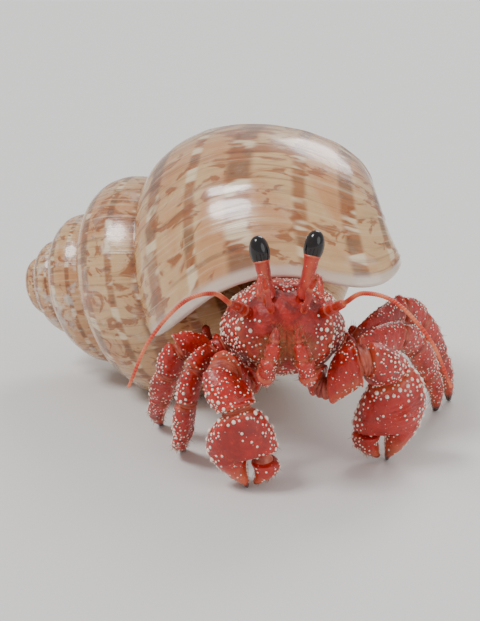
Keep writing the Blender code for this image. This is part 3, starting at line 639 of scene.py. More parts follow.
def make_shell():
    """Outside from the point to the lip, a rounded edge, and the inside back from it, as one closed body.
    The edge's profile is a half circle across the wall, carried round the lip along its own direction."""
    wall = settings().wall / MM
    around = circle(SHELL_SIDES)[None]
    back = wall / 2 / (TUBE_OFFSET + TUBE_RADIUS)
    outer = np.concatenate([np.linspace(APEX_TURN, LATE_TURN, EARLY_RINGS, endpoint=False),
                            np.linspace(LATE_TURN, -back, LATE_RINGS)])[:, None]
    outside = shell_point(outer, around, shell_relief(outer, around) * smooth(-outer, 0.0, 0.02))
    outside = closed_point(outside, outer)
    ahead = unit(shell_point(np.array([[-back]]), around) - shell_point(np.array([[-back - 0.03]]), around))
    b = np.linspace(0, math.pi, 9)[1:-1][:, None]
    edge = shell_point(-back + 0 * b, around, -wall / 2 * (1 - np.cos(b)))
    edge = edge + ahead * (wall / 2 * np.sin(b))[..., None]
    inner = np.linspace(-back, -CAVITY_BACK, INNER_RINGS)[:, None]
    inside = shell_point(inner, around, -wall + 0 * inner)
    closing = np.linspace(1, 0.12, 6)[1:, None, None]
    middle = inside[-1:].mean(axis=1, keepdims=True)
    grid = np.concatenate([outside, edge, inside, middle + (inside[-1:] - middle) * closing])
    turn = np.concatenate([outer[:, 0], np.full(len(b), -back), inner[:, 0],
                           np.full(len(closing), -CAVITY_BACK)])[:, None]
    within = np.concatenate([smooth(outer[:, 0], LIP_RIDGE, -0.06) * 0.75, np.full(len(b), 0.85),
                             np.ones(len(inner) + len(closing))])[:, None]
    ways = np.stack(np.broadcast_arrays(np.cos(around), np.sin(around), turn), -1)
    band = sum(hump(wrapped(around), math.radians(place), width) for place, width in BANDS)
    values = dict(growth=ways, band=band, inside=within, age=np.clip(-turn / OLD_TURN, 0, 1))
    grid[..., 2] = np.maximum(grid[..., 2], 0.0)
    add_piece("turban_shell", grid_part(grid, values), "turban_shell", ("shell",))


# ---------------------------------------------------------------- trunk

def trunk_axes():
    """The ways along the trunk to its rear, to its left and up, and its length."""
    back = unit(TRUNK_REAR - TRUNK_FRONT)
    side = unit(LEFT - back * back[0])
    up = np.cross(side, back)
    return back, side, up * np.sign(up[2]), np.linalg.norm(TRUNK_REAR - TRUNK_FRONT)


def trunk_point(share, angle, grow=0.0):
    """The trunk's skin: an egg whose half width and half height follow a blunt oval along it, a little
    flatter on top. Share 0 is the face, angle 0 the top and 90 degrees the left side."""
    back, side, up, length = trunk_axes()
    share, angle = np.broadcast_arrays(share, np.radians(angle))
    full = np.maximum(0.0, 1.0 - np.abs(1.0 - 2.0 * share) ** TRUNK_BLUNT) ** (1.0 / TRUNK_BLUNT)
    wide = TRUNK_HALF_WIDTH * full * (0.86 + 0.14 * smooth(share, 0.0, 0.45))
    tall = TRUNK_HALF_HEIGHT * full
    tall = np.where(np.cos(angle) > 0, tall * (1.0 - 0.14 * smooth(share, 0.2, 0.5)), tall)
    offset = (side * ((wide + grow) * np.sin(angle))[..., None]
              + up * ((tall + grow) * np.cos(angle))[..., None])
    return TRUNK_FRONT + back * (length * share)[..., None] + offset


def trunk_normal(share, angle):
    """The way out of the trunk's skin, across two short steps on it."""
    step = 0.01
    along = trunk_point(share + step, angle) - trunk_point(share - step, angle)
    normal = unit(np.cross(along, trunk_point(share, angle + 1.0) - trunk_point(share, angle - 1.0)))
    outward = trunk_point(share, angle) - (TRUNK_FRONT + TRUNK_REAR) / 2
    return normal * np.sign(normal @ outward)


def standing(foot, sign, clear=0.0):
    """Where a small limb starts on one side of the trunk, that far off its skin, and the way out of it."""
    share, angle = foot
    skin = trunk_normal(share, sign * angle)
    return trunk_point(share, sign * angle) + skin * clear, skin


def trunk_rings(a, share):
    """The trunk's skin with its relief: a crease under the shield's edge, brows over the feelers, a hollow
    mouth field and a furrow along the middle below. Also how far the mouth field and the brows reach."""
    aside = np.abs(wrapped(np.radians(a)))
    crease = hump(aside, math.radians(SHIELD_HALF_ANGLE + 7), 0.09) * smooth(share, 0.06, 0.16)
    trunk = trunk_point(share, a, -0.35 * crease)
    lower = smooth(-np.cos(np.radians(a)), 0.1, 0.7)
    trunk = raised(trunk, 0.22 * ripple(trunk, 5.0, 3) * (0.4 + 0.6 * lower))
    brow = hump(share, 0.125, 0.022) * smooth(aside, 1.0, 1.3) * smooth(aside, 2.7, 2.4)
    mouth = smooth(share, 0.10, 0.05) * smooth(aside, 1.7, 2.3)
    furrow = hump(aside, math.pi, 0.10) * smooth(share, 0.5, 0.2)
    trunk = raised(trunk, 0.55 * brow - 0.5 * furrow)
    return trunk + trunk_axes()[0] * (0.9 * mouth)[..., None], mouth, brow


def abdomen_rings(a):
    """Round rings on a curve from the waist back along the shell's tube. They keep their turn as they go."""
    back, side, up, _ = trunk_axes()
    start = TRUNK_REAR + back * 1.8
    middles = [start + np.array(step) for step in WAIST_STEPS]
    middles += [shell_centre(s * math.pi, ABDOMEN_SHIFT) for s in ABDOMEN_TURNS]
    line = curve_through(middles, 3)
    for _ in range(EASING):
        line[1:-1] = (line[:-2] + 2 * line[1:-1] + line[2:]) / 4
    line = curve_through(line, 5)
    u = np.linspace(0, 1, len(line))
    radii = three_way(u, 3.2, 6.8, 1.4) * (1 + 0.035 * np.sin(46 * u))
    radii[-6:] *= np.cos(np.linspace(0.0, 1.35, 6))
    rings = []
    for here, way, radius in zip(line, unit(np.gradient(line, axis=0)), radii):
        side = unit(side - way * (side @ way))
        up = unit(up - way * (up @ way) - side * (up @ side))
        rings.append(here + (side * np.sin(a)[:, None] + up * np.cos(a)[:, None]) * radius)
    return np.array(rings)


def make_body():
    """Trunk and abdomen as one skin: the egg's rings from the face to a narrow waist, then rings carried on
    along the abdomen's curve as it tapers to the tail."""
    sides = 96
    a = (360.0 * np.arange(sides) / sides)[None]
    share = 0.5 - 0.5 * np.cos(np.linspace(0.10, math.pi * 0.925, 78))[:, None]
    trunk, mouth, brow = trunk_rings(a, share)
    grid = np.concatenate([trunk, abdomen_rings(np.radians(a[0]))])
    grid = raised(grid, 0.12 * ripple(grid, 2.4, 9))
    hard, pale = np.zeros((2, *grid.shape[:2]))
    hard[:len(share)] = smooth(share, 0.66, 0.42)
    pale[:len(share)] = 0.45 * mouth + 0.25 * brow
    add_piece("body_skin", grid_part(grid, dict(hard=hard, pale=pale)), "body_skin",
              ("thorax", "abdomen"))
    surfaces["body"] = dict(grid=trunk, kind="body")


def make_shield():
    """The hard plate on the trunk's back: a pillow-edged patch of the trunk's own surface, with a small point
    between the eyes, a curved groove across it and a shallow groove down each side."""
    u = np.linspace(0, 1, 70)[:, None]
    upper = np.linspace(-1, 1, SHIELD_ACROSS)
    across = np.concatenate([upper, upper[::-1][1:-1]])[None]
    over = np.arange(across.size)[None] < SHIELD_ACROSS
    half = SHIELD_HALF_ANGLE * (0.80 + 0.20 * np.sin(math.pi * np.minimum(1.0, 0.15 + u * 0.75)))
    angle = half * across
    front_edge = -0.035 * hump(angle, 0, 9) + 0.02 * hump(angle, 26, 12) + 0.02 * hump(angle, -26, 12)
    share = SHIELD_START + (SHIELD_END - SHIELD_START) * u + front_edge * (1 - u) ** 3
    edge = np.clip((1 - np.abs(2 * u - 1) ** 14) * (1 - np.abs(across) ** 12), 0, 1) ** 0.5
    groove = hump(share, 0.43 - 0.07 * across ** 2, 0.012)
    flank = hump(np.abs(across), 0.52 + 0.12 * (u - 0.5), 0.035) * smooth(u, 0.55, 0.75)
    rise = -0.25 + edge * (0.85 + 0.22 * hump(np.abs(across), 0.35, 0.25) * smooth(share, 0.4, 0.3)
                           - 0.34 * groove - 0.22 * flank)
    rise = np.where(over, rise, -0.30 - 0.6 * (1 - across ** 2) * (1 - np.abs(2 * u - 1) ** 4))
    grid = trunk_point(share, angle, rise)
    grid = raised(grid, 0.07 * ripple(grid, 2.2, 5))
    pale = 0.55 * smooth(share, 0.36, 0.6) * (0.4 + 0.6 * hump(across, 0, 0.5))
    add_armour("carapace_shield", "shield", "shield", grid, pale, look="shield")


# ---------------------------------------------------------------- tubes and segments

def tube(line, radii, sides=16, flat=1.0):
    """Rings across a line of points, each round its own centre with its own radius, and flatter one way."""
    ahead = unit(np.gradient(line, axis=0))
    side = unit(np.cross(ahead, np.array((0.13, 0.31, 0.94))))
    a = circle(sides)[None, :, None]
    ring = side[:, None] * np.cos(a) * flat + np.cross(ahead, side)[:, None] * np.sin(a)
    return line[:, None] + ring * np.asarray(radii)[:, None, None]


def with_round_ends(line, radii):
    """Adds short domes to a line and its radii, so that the tube closes smoothly."""
    b = np.linspace(0, math.pi / 2, END_RINGS + 1)[1:]
    near = line[0] + unit(line[0] - line[1]) * (np.sin(b[::-1]) * radii[0])[:, None] * 0.8
    far = line[-1] + unit(line[-1] - line[-2]) * (np.sin(b) * radii[-1])[:, None] * 0.8
    return (np.vstack([near, line, far]),
            np.concatenate([np.cos(b[::-1]) * radii[0], radii, np.cos(b) * radii[-1]]))


def cut_distance(point, along, cut):
    """How far a point travels along a direction before it meets a plane."""
    place, normal = cut
    return ((place - point) @ normal) / (along @ normal)


def turn_towards(way, goal, degrees):
    """A direction turned by an angle towards another one."""
    across = unit(goal - way * (goal @ way))
    return way * math.cos(math.radians(degrees)) + across * math.sin(math.radians(degrees))


def mitre(before, joint, after):
    """The two planes at a joint, each a point and a normal: both halve the bend, up to the steepest mitre."""
    first, second = unit(joint - before), unit(after - joint)
    half = math.degrees(math.acos(np.clip(first @ second, -1, 1))) / 2
    tilt = min(half, STEEPEST_MITRE)
    back = JOINT_RADIUS * math.sin(math.radians(half - tilt)) + GAP / 2
    ending = turn_towards(first, second, tilt)
    starting = turn_towards(second, first, tilt)
    return (joint - ending * back, ending), (joint + starting * back, starting)


def end_steps(length, rounding, rings):
    """Places along a piece, close together at its two rounded ends, and the share of full size at each."""
    share = min(0.3, rounding / length)
    b = np.linspace(0.12, math.pi / 2, 8)
    near = share * (1 - np.cos(b))
    u = np.concatenate([near, np.linspace(share, 1 - share, rings)[1:-1], 1 - near[::-1]])
    return u, np.concatenate([np.sin(b), np.ones(rings - 2), np.sin(b[::-1])])


def segment(near, far, near_cut, far_cut, sizes, tall_way, flare, rounding, seed, bow=0.0, crest=0.0,
            rings=44, rough=0.07):
    """A limb segment between two planes: oval rings whose two half sizes are quadratics along it, with a low
    crest above, a raised rim at the far end and rounded ends."""
    along = unit(far - near)
    tall = unit(tall_way - along * (tall_way @ along))
    thin = np.cross(along, tall)
    u, size = end_steps(np.linalg.norm(far - near), rounding, rings)
    a = circle(40)
    rim = 1 + flare * hump(u, 0.94, 0.035) - 0.6 * flare * hump(u, 0.85, 0.04)
    half_tall, half_thin = (three_way(u, *(s[k] for s in sizes)) * size * rim for k in (0, 1))
    ridge = 1 + crest * hump(wrapped(a), 0, 0.34) + 0.5 * crest * hump(np.abs(wrapped(a)), math.pi, 0.3)
    offset = near + (tall * (half_tall[:, None] * np.cos(a) * ridge)[..., None]
                     + thin * (half_thin[:, None] * np.sin(a) * (1 + 0.06 * np.cos(2 * a)))[..., None])
    low = cut_distance(offset, along, near_cut)
    high = cut_distance(offset, along, far_cut)
    grid = (offset + along * (low + (high - low) * u[:, None])[..., None]
            + (tall * (bow * np.sin(math.pi * u))[:, None])[:, None])
    return raised(grid, rough * size[:, None] * ripple(grid, 1.8, seed)), u, a


def membrane(before, joint, after, radius, folds=5):
    """Soft skin across a joint: a bulging, folded tube on a curve from inside one segment, past the joint,
    into the next."""
    u = np.linspace(0, 1, 40)[:, None]
    line = before * (1 - u) ** 2 + joint * 2 * u * (1 - u) + after * u ** 2
    u = u[:, 0]
    radii = radius * (1 + 0.07 * np.cos(TURN * folds * u)) * np.sin(math.pi * (0.12 + 0.76 * u)) ** 0.35
    return grid_part(tube(*with_round_ends(line, radii), 24))


def make_chain(name, spec, parts, sizes, last_cut=FLOOR):
    """Segments from the trunk's skin along the joint points, with soft skin between them."""
    start, skin = standing((spec["share"], spec["angle"]), 1.0)
    line = [start, start + skin * spec.get("base", BASE_LENGTH)]
    line += [np.array(p, float) for p in spec["joints"]]
    chord = unit(line[-1] - line[0])
    knee = unit(line[2] - line[0] - chord * ((line[2] - line[0]) @ chord))
    near_cut = (line[0] + skin * GAP, skin)
    soft = [membrane(line[0] - skin * 1.6, line[0], line[0] + skin * 1.6, sizes[parts[0]][0][0] * 0.9)]
    for i, part in enumerate(parts):
        if i + 2 < len(line):
            far_cut, next_cut = mitre(line[i], line[i + 1], line[i + 2])
            way, following = unit(line[i + 1] - line[i]), unit(line[i + 2] - line[i + 1])
            radius = 0.5 * sum(sizes[part][2]) * 0.86
            soft.append(membrane(far_cut[0] - way * 1.5, line[i + 1], next_cut[0] + following * 1.5, radius))
        else:
            far_cut, next_cut = last_cut, None
        base, claw = part == "base", part == "dactyl"
        grid, u, a = segment(line[i], line[i + 1], near_cut, far_cut, sizes[part],
                             UP if part in ("base", "merus") else knee, 0.0 if claw else 0.07,
                             0.45 if claw else 0.8, 7 * i + len(name), BOWS.get(part, 0.0),
                             0.0 if base else 0.07)
        tip = smooth(u, 0.80, 0.93) if claw else 0 * u
        pale = 0.25 * hump(u, 0.72, 0.1) if claw else 0.5 * smooth(u, 0.9, 0.98) + 0.35 * hump(u, 0.0, 0.1)
        under = smooth(-np.cos(a), 0.3, 0.9) * 0.35
        node = name + "_" + part
        add_armour(node.replace("cheliped", "claw_arm") + "_armour", node, part, grid,
                   np.maximum(pale[:, None], under), tip[:, None])
        near_cut = next_cut
    if last_cut is not FLOOR:
        wrist = line[-1]
        onward = unit(np.array(spec["tip"]) - wrist)
        soft.append(membrane(last_cut[0] - unit(wrist - line[-2]) * 1.5, wrist, wrist + onward * 2.2,
                             0.5 * sum(sizes[parts[-1]][2]) * 0.84))
    add_piece(name + "_joint_skin", joined(soft), "joint_skin")


# ---------------------------------------------------------------- claws

def palm_outer(s):
    """Outer edge of the palm and fixed finger, as a share of the palm's width from the wrist line."""
    return 0.20 + 0.36 * np.sin(math.pi * np.minimum(1.0, s / 0.94)) ** 0.75 * (1 - 0.35 * s) - 0.20 * s ** 3


def palm_inner(s):
    """Inner edge: the palm's bulge, a step at the finger's root, then the fixed finger's biting edge."""
    palm = -0.20 - 0.30 * np.sin(math.pi * np.minimum(1.0, s / 1.05)) ** 0.8
    return palm + (-0.035 - 0.02 * s - palm) * smooth(s, FINGER_START - 0.02, FINGER_START + 0.03)


def claw_frame(spec):
    """The wrist, the claw's length, and the ways along it, outwards and to the front."""
    wrist, tip = np.array(spec["joints"][-1], float), np.array(spec["tip"], float)
    along = unit(tip - wrist)
    outward = np.array((-spec["inner"], 0.0, 0.0))
    outward = unit(outward - along * (outward @ along))
    front = np.cross(along, outward)
    return wrist, np.linalg.norm(tip - wrist), along, outward, front * -np.sign(front[1])


def claw_rings(centre, outward, front, middle, half, thick, a, swell):
    """Oval rings: each one's middle lies outwards of the centre line, and it is fuller in front."""
    fuller = 1 + swell * np.maximum(0, np.sin(a))
    return (centre + outward * (middle[:, None] + half[:, None] * np.cos(a))[..., None]
            + front * (thick[:, None] * np.sin(a) * fuller)[..., None])


def make_palm(name, spec, palm_cut):
    """Palm with its fixed finger: oval rings between an inner and an outer edge, from the wrist's plane to
    the floor. The large claw has a row of low ridges, as the living crab has."""
    wrist, length, along, outward, front = claw_frame(spec)
    s, size = end_steps(length, 1.0, 84)
    a = circle(56)
    low, high = palm_inner(s) * spec["width"], palm_outer(s) * spec["width"]
    thick = spec["thick"] / 2 * three_way(s, 0.72, 1.0, 0.22) * (1.0 - 0.08 * smooth(s, 0.56, 0.6)) * size
    offset = claw_rings(wrist, outward, front, (low + high) / 2, (high - low) / 2 * size, thick, a, 0.10)
    near = cut_distance(offset, along, palm_cut)
    far = cut_distance(offset, along, FLOOR)
    grid = offset + along * (near + (far - near) * s[:, None])[..., None]
    grid = raised(grid, 0.10 * size[:, None] * ripple(grid, 2.6, len(name)))
    if name.endswith("left"):
        row = np.sin(TURN * (s[:, None] * length / 1.1 + 0.15 * np.cos(a)))
        grid = raised(grid, 0.22 * row * (hump(s, 0.34, 0.12)[:, None] * hump(a, math.radians(70), 0.55)))
    grid[..., 2] = np.maximum(grid[..., 2], 0.0)
    s = s[:, None]
    tip = smooth(s, 0.90, 0.97)
    pale = np.maximum(0.6 * hump(s, 0.0, 0.06), 0.55 * smooth(s, 0.62, 0.85) * (1 - tip))
    add_armour(name + "_palm_armour", name + "_palm", "palm", grid, pale, tip, "claw_armour")


def make_finger(name, spec):
    """The movable finger on the palm's inner side, the teeth that it meets, and the soft skin at its root."""
    wrist, length, along, outward, front = claw_frame(spec)
    width = spec["width"]
    u, size = end_steps(length * 0.33, 0.7, 52)
    start = FINGER_START + SOCKET
    s = start + (FINGER_END - start) * u
    half = three_way(u, 0.185, 0.17, 0.045) * width * size
    thick = spec["thick"] / 2 * three_way(u, 0.80, 0.62, 0.18) * size
    grid = claw_rings(wrist + along * (length * s)[:, None, None], outward, front,
                      three_way(u, -0.28, -0.315, -0.145) * width, half, thick, circle(44), 0.08)
    grid = raised(grid, 0.07 * size[:, None] * ripple(grid, 2.0, 3 + len(name)))
    tip = smooth(u, 0.82, 0.95)[:, None]
    pale = 0.5 * smooth(u, 0.4, 0.8)[:, None] * (1 - tip)
    add_armour(name + "_finger_armour", name + "_finger", "finger", grid, pale, tip, "claw_armour")
    make_teeth(name, spec)
    root = wrist + along * (length * (start + 0.02)) + outward * (-0.285 * width)
    soft = membrane(root - along * 2.0, root, root + along * 1.6, 0.135 * width, 2)
    add_piece(name + "_finger_joint_skin", soft, "joint_skin")


def make_teeth(name, spec):
    """Blunt white teeth along the fixed finger's biting edge, as domes that shrink towards the tip."""
    wrist, length, along, outward, front = claw_frame(spec)
    s = np.linspace(FIRST_TOOTH, LAST_TOOTH, 6)[:, None]
    places = wrist + along * (length * s) + outward * ((palm_inner(s) + 0.004) * spec["width"])
    sizes = 0.62 * (1.15 - 0.6 * (s - FIRST_TOOTH) / (LAST_TOOTH - FIRST_TOOTH))
    frames = np.broadcast_to(np.stack([along, front, -outward]), (len(s), 3, 3))
    part = stamped(dome(10, 4), places, frames, sizes * (0.9, 1.0, 0.55), np.full((len(s), 2), 0.5), 0.4)
    add_piece(name + "_teeth", part, "tooth")


# ---------------------------------------------------------------- head

def make_eyes():
    """A flattened stalk with a collar and, on its end, a long black cornea: an ellipsoid cut off below. A
    small pointed scale lies before the stalk's foot."""
    for side_name, sign in SIDES:
        centre = EYE_CENTRES[side_name]
        start, skin = standing(STALK_FOOT, sign, GAP / 2)
        way = unit(centre - start)
        seat = centre - way * (EYE_HALF_LENGTH * 0.45)
        grid, u, a = segment(start, seat, (start + skin * (GAP / 2), skin), (seat + way * (GAP / 2), way),
                             STALK_SIZES, np.array((0.0, -1.0, 0.0)), 0.05, 0.5, 11, rings=60, rough=0.05)
        u = u[:, None]
        pale = 0.35 * hump(wrapped(a), 0, 0.5) * smooth(u, 0.1, 0.5) + 0.4 * smooth(u, 0.90, 0.97)
        add_armour("eyestalk_armour_" + side_name, "eyestalk_" + side_name, "stalk", grid,
                   np.clip(pale, 0, 1))
        b = np.linspace(-0.62, math.pi / 2 - 0.03, 34)[:, None]
        c = circle(40)[None]
        across = unit(LEFT - way * way[0])
        grid = (centre + way * (EYE_HALF_LENGTH * np.sin(b))[..., None]
                + (across * np.cos(c)[..., None] + np.cross(way, across) * np.sin(c)[..., None])
                * (EYE_RADIUS * np.cos(b) ** 0.9)[..., None])
        add_piece("cornea_" + side_name, grid_part(grid), "black_cornea", ("eye_" + side_name,))
        root = start - way * 0.3 + np.array((sign * 0.5, -1.2, -0.2))
        line = root + np.array((sign * 0.4, -1.6, 1.4)) * np.linspace(0, 1.6, 16)[:, None]
        line, radii = with_round_ends(line, 0.85 * (1 - np.linspace(0, 1, 16) ** 1.6 * 0.85))
        pale = np.linspace(0, 0.7, len(line))[:, None]
        add_piece("eye_scale_" + side_name, grid_part(tube(line, radii, 16, 0.6), dict(tip=0.0, pale=pale)),
                  "armour")


def jointed_limb(name, node, line, girth, seams, sides=20, pale_end=0.12, kind="jointed", flat=1.0):
    """A tube along a line, its radius a function of the share along it. At each seam it has a narrow waist
    with a slight swelling before. Without a node of its own it is an added small limb."""
    u = np.linspace(0, 1, len(line))
    share = np.ones(len(line))
    for seam in seams:
        share = share - 0.26 * hump(u, seam, SEAM) + 0.10 * hump(u, seam - 2.4 * SEAM, 1.5 * SEAM)
    line, radii = with_round_ends(line, girth(u) * share)
    grid = tube(line, radii, sides, flat)
    grid = raised(grid, 0.04 * ripple(grid, 1.5, len(name)))
    s = np.linspace(0, 1, len(line))
    pale = sum(0.45 * hump(s, seam, SEAM) for seam in seams) + pale_end * s
    add_armour(name, node, kind, grid, np.clip(pale, 0, 1)[:, None])


def carried(start, route, sign, steps):
    """A smooth line from a start along a route that is given for the left side."""
    return curve_through([start + np.array(step) * (sign, 1.0, 1.0) for step in route], steps)


def make_feelers():
    """Antennae: a stalk of three swellings and a ringed whip. Antennules: a bent stalk and a small club."""
    for side_name, sign in SIDES:
        start, _ = standing(ANTENNA_FOOT, sign, GAP / 2)
        joint = start + np.array(ANTENNA_BASE) * (sign, 1.0, 1.0)
        way = unit(joint - start)
        line = start + (joint - way * 0.3 - start) * np.linspace(0, 1, 60)[:, None]
        jointed_limb("antenna_stalk_" + side_name, "antenna_base_" + side_name, line,
                     lambda u: three_way(u, 1.12, 1.0, 0.78), (0.30, 0.62), kind="bare")
        line = carried(joint + way * (GAP / 2), ANTENNA_ROUTE, sign, 90)
        u = np.linspace(0, 1, len(line))
        rings = 0.5 + 0.5 * np.cos(TURN * WHIP_RINGS * u)
        line, radii = with_round_ends(line, (0.48 - 0.20 * u) * (0.93 + 0.10 * rings))
        pale = 0.5 + 0.5 * np.cos(TURN * 5 * np.linspace(0, 1, len(line)))[:, None]
        values = dict(ring=np.pad(rings, END_RINGS, mode="edge")[:, None], pale=pale)
        add_piece("antenna_whip_" + side_name, grid_part(tube(line, radii, 12), values), "feeler",
                  ("antenna_" + side_name,))
        start, _ = standing(ANTENNULE_FOOT, sign, GAP + 0.3)
        jointed_limb("antennule_stalk_" + side_name, "antennule_" + side_name,
                     carried(start, ANTENNULE_ROUTE, sign, 24),
                     lambda u: 0.60 - 0.18 * smooth(u, 0.6, 0.75) + 0.12 * hump(u, 0.92, 0.08),
                     (0.24, 0.49, 0.74), 16)


def make_mouth():
    """Jointed tubes: the outer mouth limbs, two smaller pairs behind them, and the short fourth legs that
    fold under the shell's lip."""
    for side_name, sign in SIDES:
        start, _ = standing(JAW_FOOT, sign, GAP + 0.9)
        jointed_limb("mouth_limb_" + side_name, "maxilliped_" + side_name,
                     carried(start, JAW_ROUTE, sign, 22), lambda u: three_way(u, 1.35, 1.75, 0.62),
                     (0.18, 0.38, 0.60, 0.80), 28, 0.05, "jaw", 0.86)
        start, _ = standing(INNER_JAW_FOOT, sign)
        for k, size in enumerate(INNER_JAWS):
            route = np.array(INNER_JAW_ROUTE) * size - (0.0, 0.0, INNER_JAW_DROP)
            jointed_limb("inner_mouth_limb_%d_%s" % (k + 1, side_name), None, carried(start, route, sign, 20),
                         lambda u: three_way(u, 0.6, 0.62, 0.28), (0.35, 0.62, 0.82), 16, 0.75,
                         "jaw")
        start, skin = standing(SMALL_LEG_FOOT, sign, GAP + 1.2)
        line = curve_through([start + skin * out + np.array(step) for out, step in SMALL_LEG_ROUTE], 22)
        jointed_limb("fourth_leg_" + side_name, "small_leg_" + side_name, line,
                     lambda u: three_way(u, 1.3, 1.15, 0.85), (0.34, 0.66), 24)


# ---------------------------------------------------------------- granules and hairs

def dome(sides, rings):
    """A bead: rings of a flattened half ball from below its foot to its crown, closed at both ends."""
    b = np.linspace(-0.35, math.pi / 2 - 0.25, rings)[:, None]
    a = circle(sides)[None]
    grid = np.stack(np.broadcast_arrays(np.cos(b) * np.cos(a), np.cos(b) * np.sin(a), np.sin(b)), -1)
    part = grid_part(grid, dict(crown=np.clip(np.sin(b), 0, 1)))
    part["points"][-1, 2] = 1.0
    return part


def bristle():
    """A hair: a three-sided cone that bends over as it rises."""
    t = np.array((0.0, 0.4, 0.8))[:, None]
    a = circle(3)[None]
    thin = (1 - t) ** 0.7
    grid = np.stack(np.broadcast_arrays(np.cos(a) * thin + 3.0 * t * t, np.sin(a) * thin, t), -1)
    part = grid_part(grid, dict(crown=t))
    part["points"][-1] = (4.2, 0.0, 1.0)
    return part


def stamped(shape, places, frames, scale, roots, patch=0.003):
    """Many copies of a small shape as one mesh: each point is scaled, turned by its copy's frame and set at
    its place. On the map each copy is a small patch about its root."""
    count, size = len(places), len(shape["points"])
    local = shape["points"][None] * scale[:, None]
    step = (np.arange(count) * size)[:, None, None]
    spread = shape["points"][:, :2] / np.abs(shape["points"][:, :2]).max() * patch / 2
    part = dict(points=(places[:, None] + np.einsum("nkc,ncd->nkd", local, frames)).reshape(-1, 3),
                values={k: np.tile(v, count) for k, v in shape["values"].items()})
    for key, corners in (("quads", 4), ("tris", 3)):
        part[key] = (shape[key][None] + step).reshape(-1, corners)
        part[key[:-1] + "_uv"] = (roots[:, None, None] + spread[shape[key]][None]).reshape(-1, corners, 2)
    return facing_out(part)


def scattered(grid, weight, count, rng):
    """Random places on a grid surface, more of them where the weight is high: cells are drawn by area times
    weight, then a place within each is a blend of its corners."""
    def corners(values):
        """The values at each cell's four corners."""
        following = np.roll(values, -1, 1)
        return values[:-1], following[:-1], values[1:], following[1:]
    corner = corners(grid)
    area = np.linalg.norm(np.cross(corner[1] - corner[0], corner[2] - corner[0]), axis=-1)
    chance = (area * weight[:-1]).ravel()
    cell = rng.choice(chance.size, size=count, p=chance / chance.sum())
    i, j = np.divmod(cell, grid.shape[1])
    s, t = rng.random((2, count, 1))
    share = ((1 - s) * (1 - t), (1 - s) * t, s * (1 - t), s * t)
    places = sum(c[i, j] * w for c, w in zip(corner, share))
    ways = unit(sum(c[i, j] * w for c, w in zip(corners(normals(grid)), share)))
    ahead = unit(np.gradient(grid, axis=0)[i, j])
    roots = np.stack([(i + s[:, 0]) / (grid.shape[0] - 1), (j + t[:, 0]) / grid.shape[1]], -1)
    return places, ways, ahead, roots, weight[i, j]


def weighted_area(grid, weight):
    """Square millimetres of a surface, each counted by its weight."""
    cells = np.linalg.norm(np.cross(np.gradient(grid, axis=0), np.roll(grid, -1, 1) - grid), axis=-1)
    return (cells * weight).sum()


def spaced(places, radii, spread=1.12):
    """Keeps the largest beads first and drops each one that would touch one already kept."""
    kept = np.zeros(len(places), bool)
    for k in np.argsort(-radii, kind="stable"):
        near = np.linalg.norm(places[kept] - places[k], axis=1) < (radii[kept] + radii[k]) * spread
        kept[k] = not near.any()
    return kept


def sown(name, look, kinds, rest, seed, shape, dress):
    """Copies of one small shape over every surface of these kinds, in one mesh for each region. For each
    surface a function gives their places, frames, sizes and roots. The surfaces share the map in tiles."""
    regions = {"claws": [], "legs": [], rest: []}
    for node, surface in surfaces.items():
        if surface["kind"] in kinds:
            region = "claws" if "cheliped" in node else "legs" if "leg" in node else rest
            regions[region].append(surface)
    for region, members in regions.items():
        parts = []
        for k, surface in enumerate(members):
            grid, kind = surface["grid"], surface["kind"]
            places, frames, scale, roots = dress(grid, kind, np.random.default_rng(seed + k))
            tile = np.array((k % TILES, k // TILES)) / TILES
            parts.append(stamped(shape, places, frames, scale, tile + TILE_EDGE + roots * TILE_USED))
        add_piece(region + name, joined(parts), look, map_name="OFBake")


def places_on(grid):
    """A column of shares along a surface, and a row of angles round it from its crest and their sizes."""
    a = wrapped(circle(grid.shape[1]))[None]
    return np.linspace(0, 1, grid.shape[0])[:, None], a, np.abs(a)


def granule_weight(kind, grid):
    """Where beads stand thickest on each kind of surface, from 0 to 1."""
    u, a, aside = places_on(grid)
    if kind == "palm":
        edge = np.maximum(hump(aside, 0, 0.50), hump(aside, math.pi, 0.46) * smooth(u, 0.62, 0.5))
        edge = np.maximum(edge, 0.8 * smooth(u, 0.20, 0.08))
        return (0.03 + edge) * smooth(u, 0.93, 0.82) * smooth(u, 0.03, 0.07)
    if kind == "finger":
        return (0.12 + hump(aside, math.pi, 0.8)) * smooth(u, 0.85, 0.6) * smooth(u, 0.05, 0.15)
    if kind == "body":
        low = 0.5 * hump(aside, math.pi, 1.0) * smooth(u, 0.06, 0.2)
        high = smooth(u, 0.62, 0.40) * smooth(u, 0.03, 0.16)
        return np.maximum(hump(aside, math.radians(96), 0.42), low) * high
    if kind == "shield":
        point = np.arange(grid.shape[1])
        across = np.linspace(-1, 1, SHIELD_ACROSS)[np.minimum(point, SHIELD_ACROSS - 1)]
        amount = 0.15 + hump(np.abs(across), 1, 0.30) + 0.6 * smooth(u, 0.25, 0.06)
        return amount * (point < SHIELD_ACROSS)
    if kind == "dactyl":
        crest = 0.25 + hump(a, 0, 0.8) + 0.5 * hump(aside, math.pi, 0.6)
        return crest * smooth(u, 0.80, 0.55) * smooth(u, 0.03, 0.1)
    if kind == "jaw":
        return 0.5 * smooth(u, 0.08, 0.2) * smooth(u, 0.8, 0.6) * (0.3 + hump(aside, math.radians(110), 0.8))
    crest = 0.25 + hump(a, 0, 0.7) + 0.6 * hump(aside, math.pi, 0.6)
    along = (0.35 + 0.65 * smooth(u, 0.2, 0.75)) * smooth(u, 0.985, 0.95) * smooth(u, 0.03, 0.1)
    return SEGMENT_BEADS[kind] * crest * along


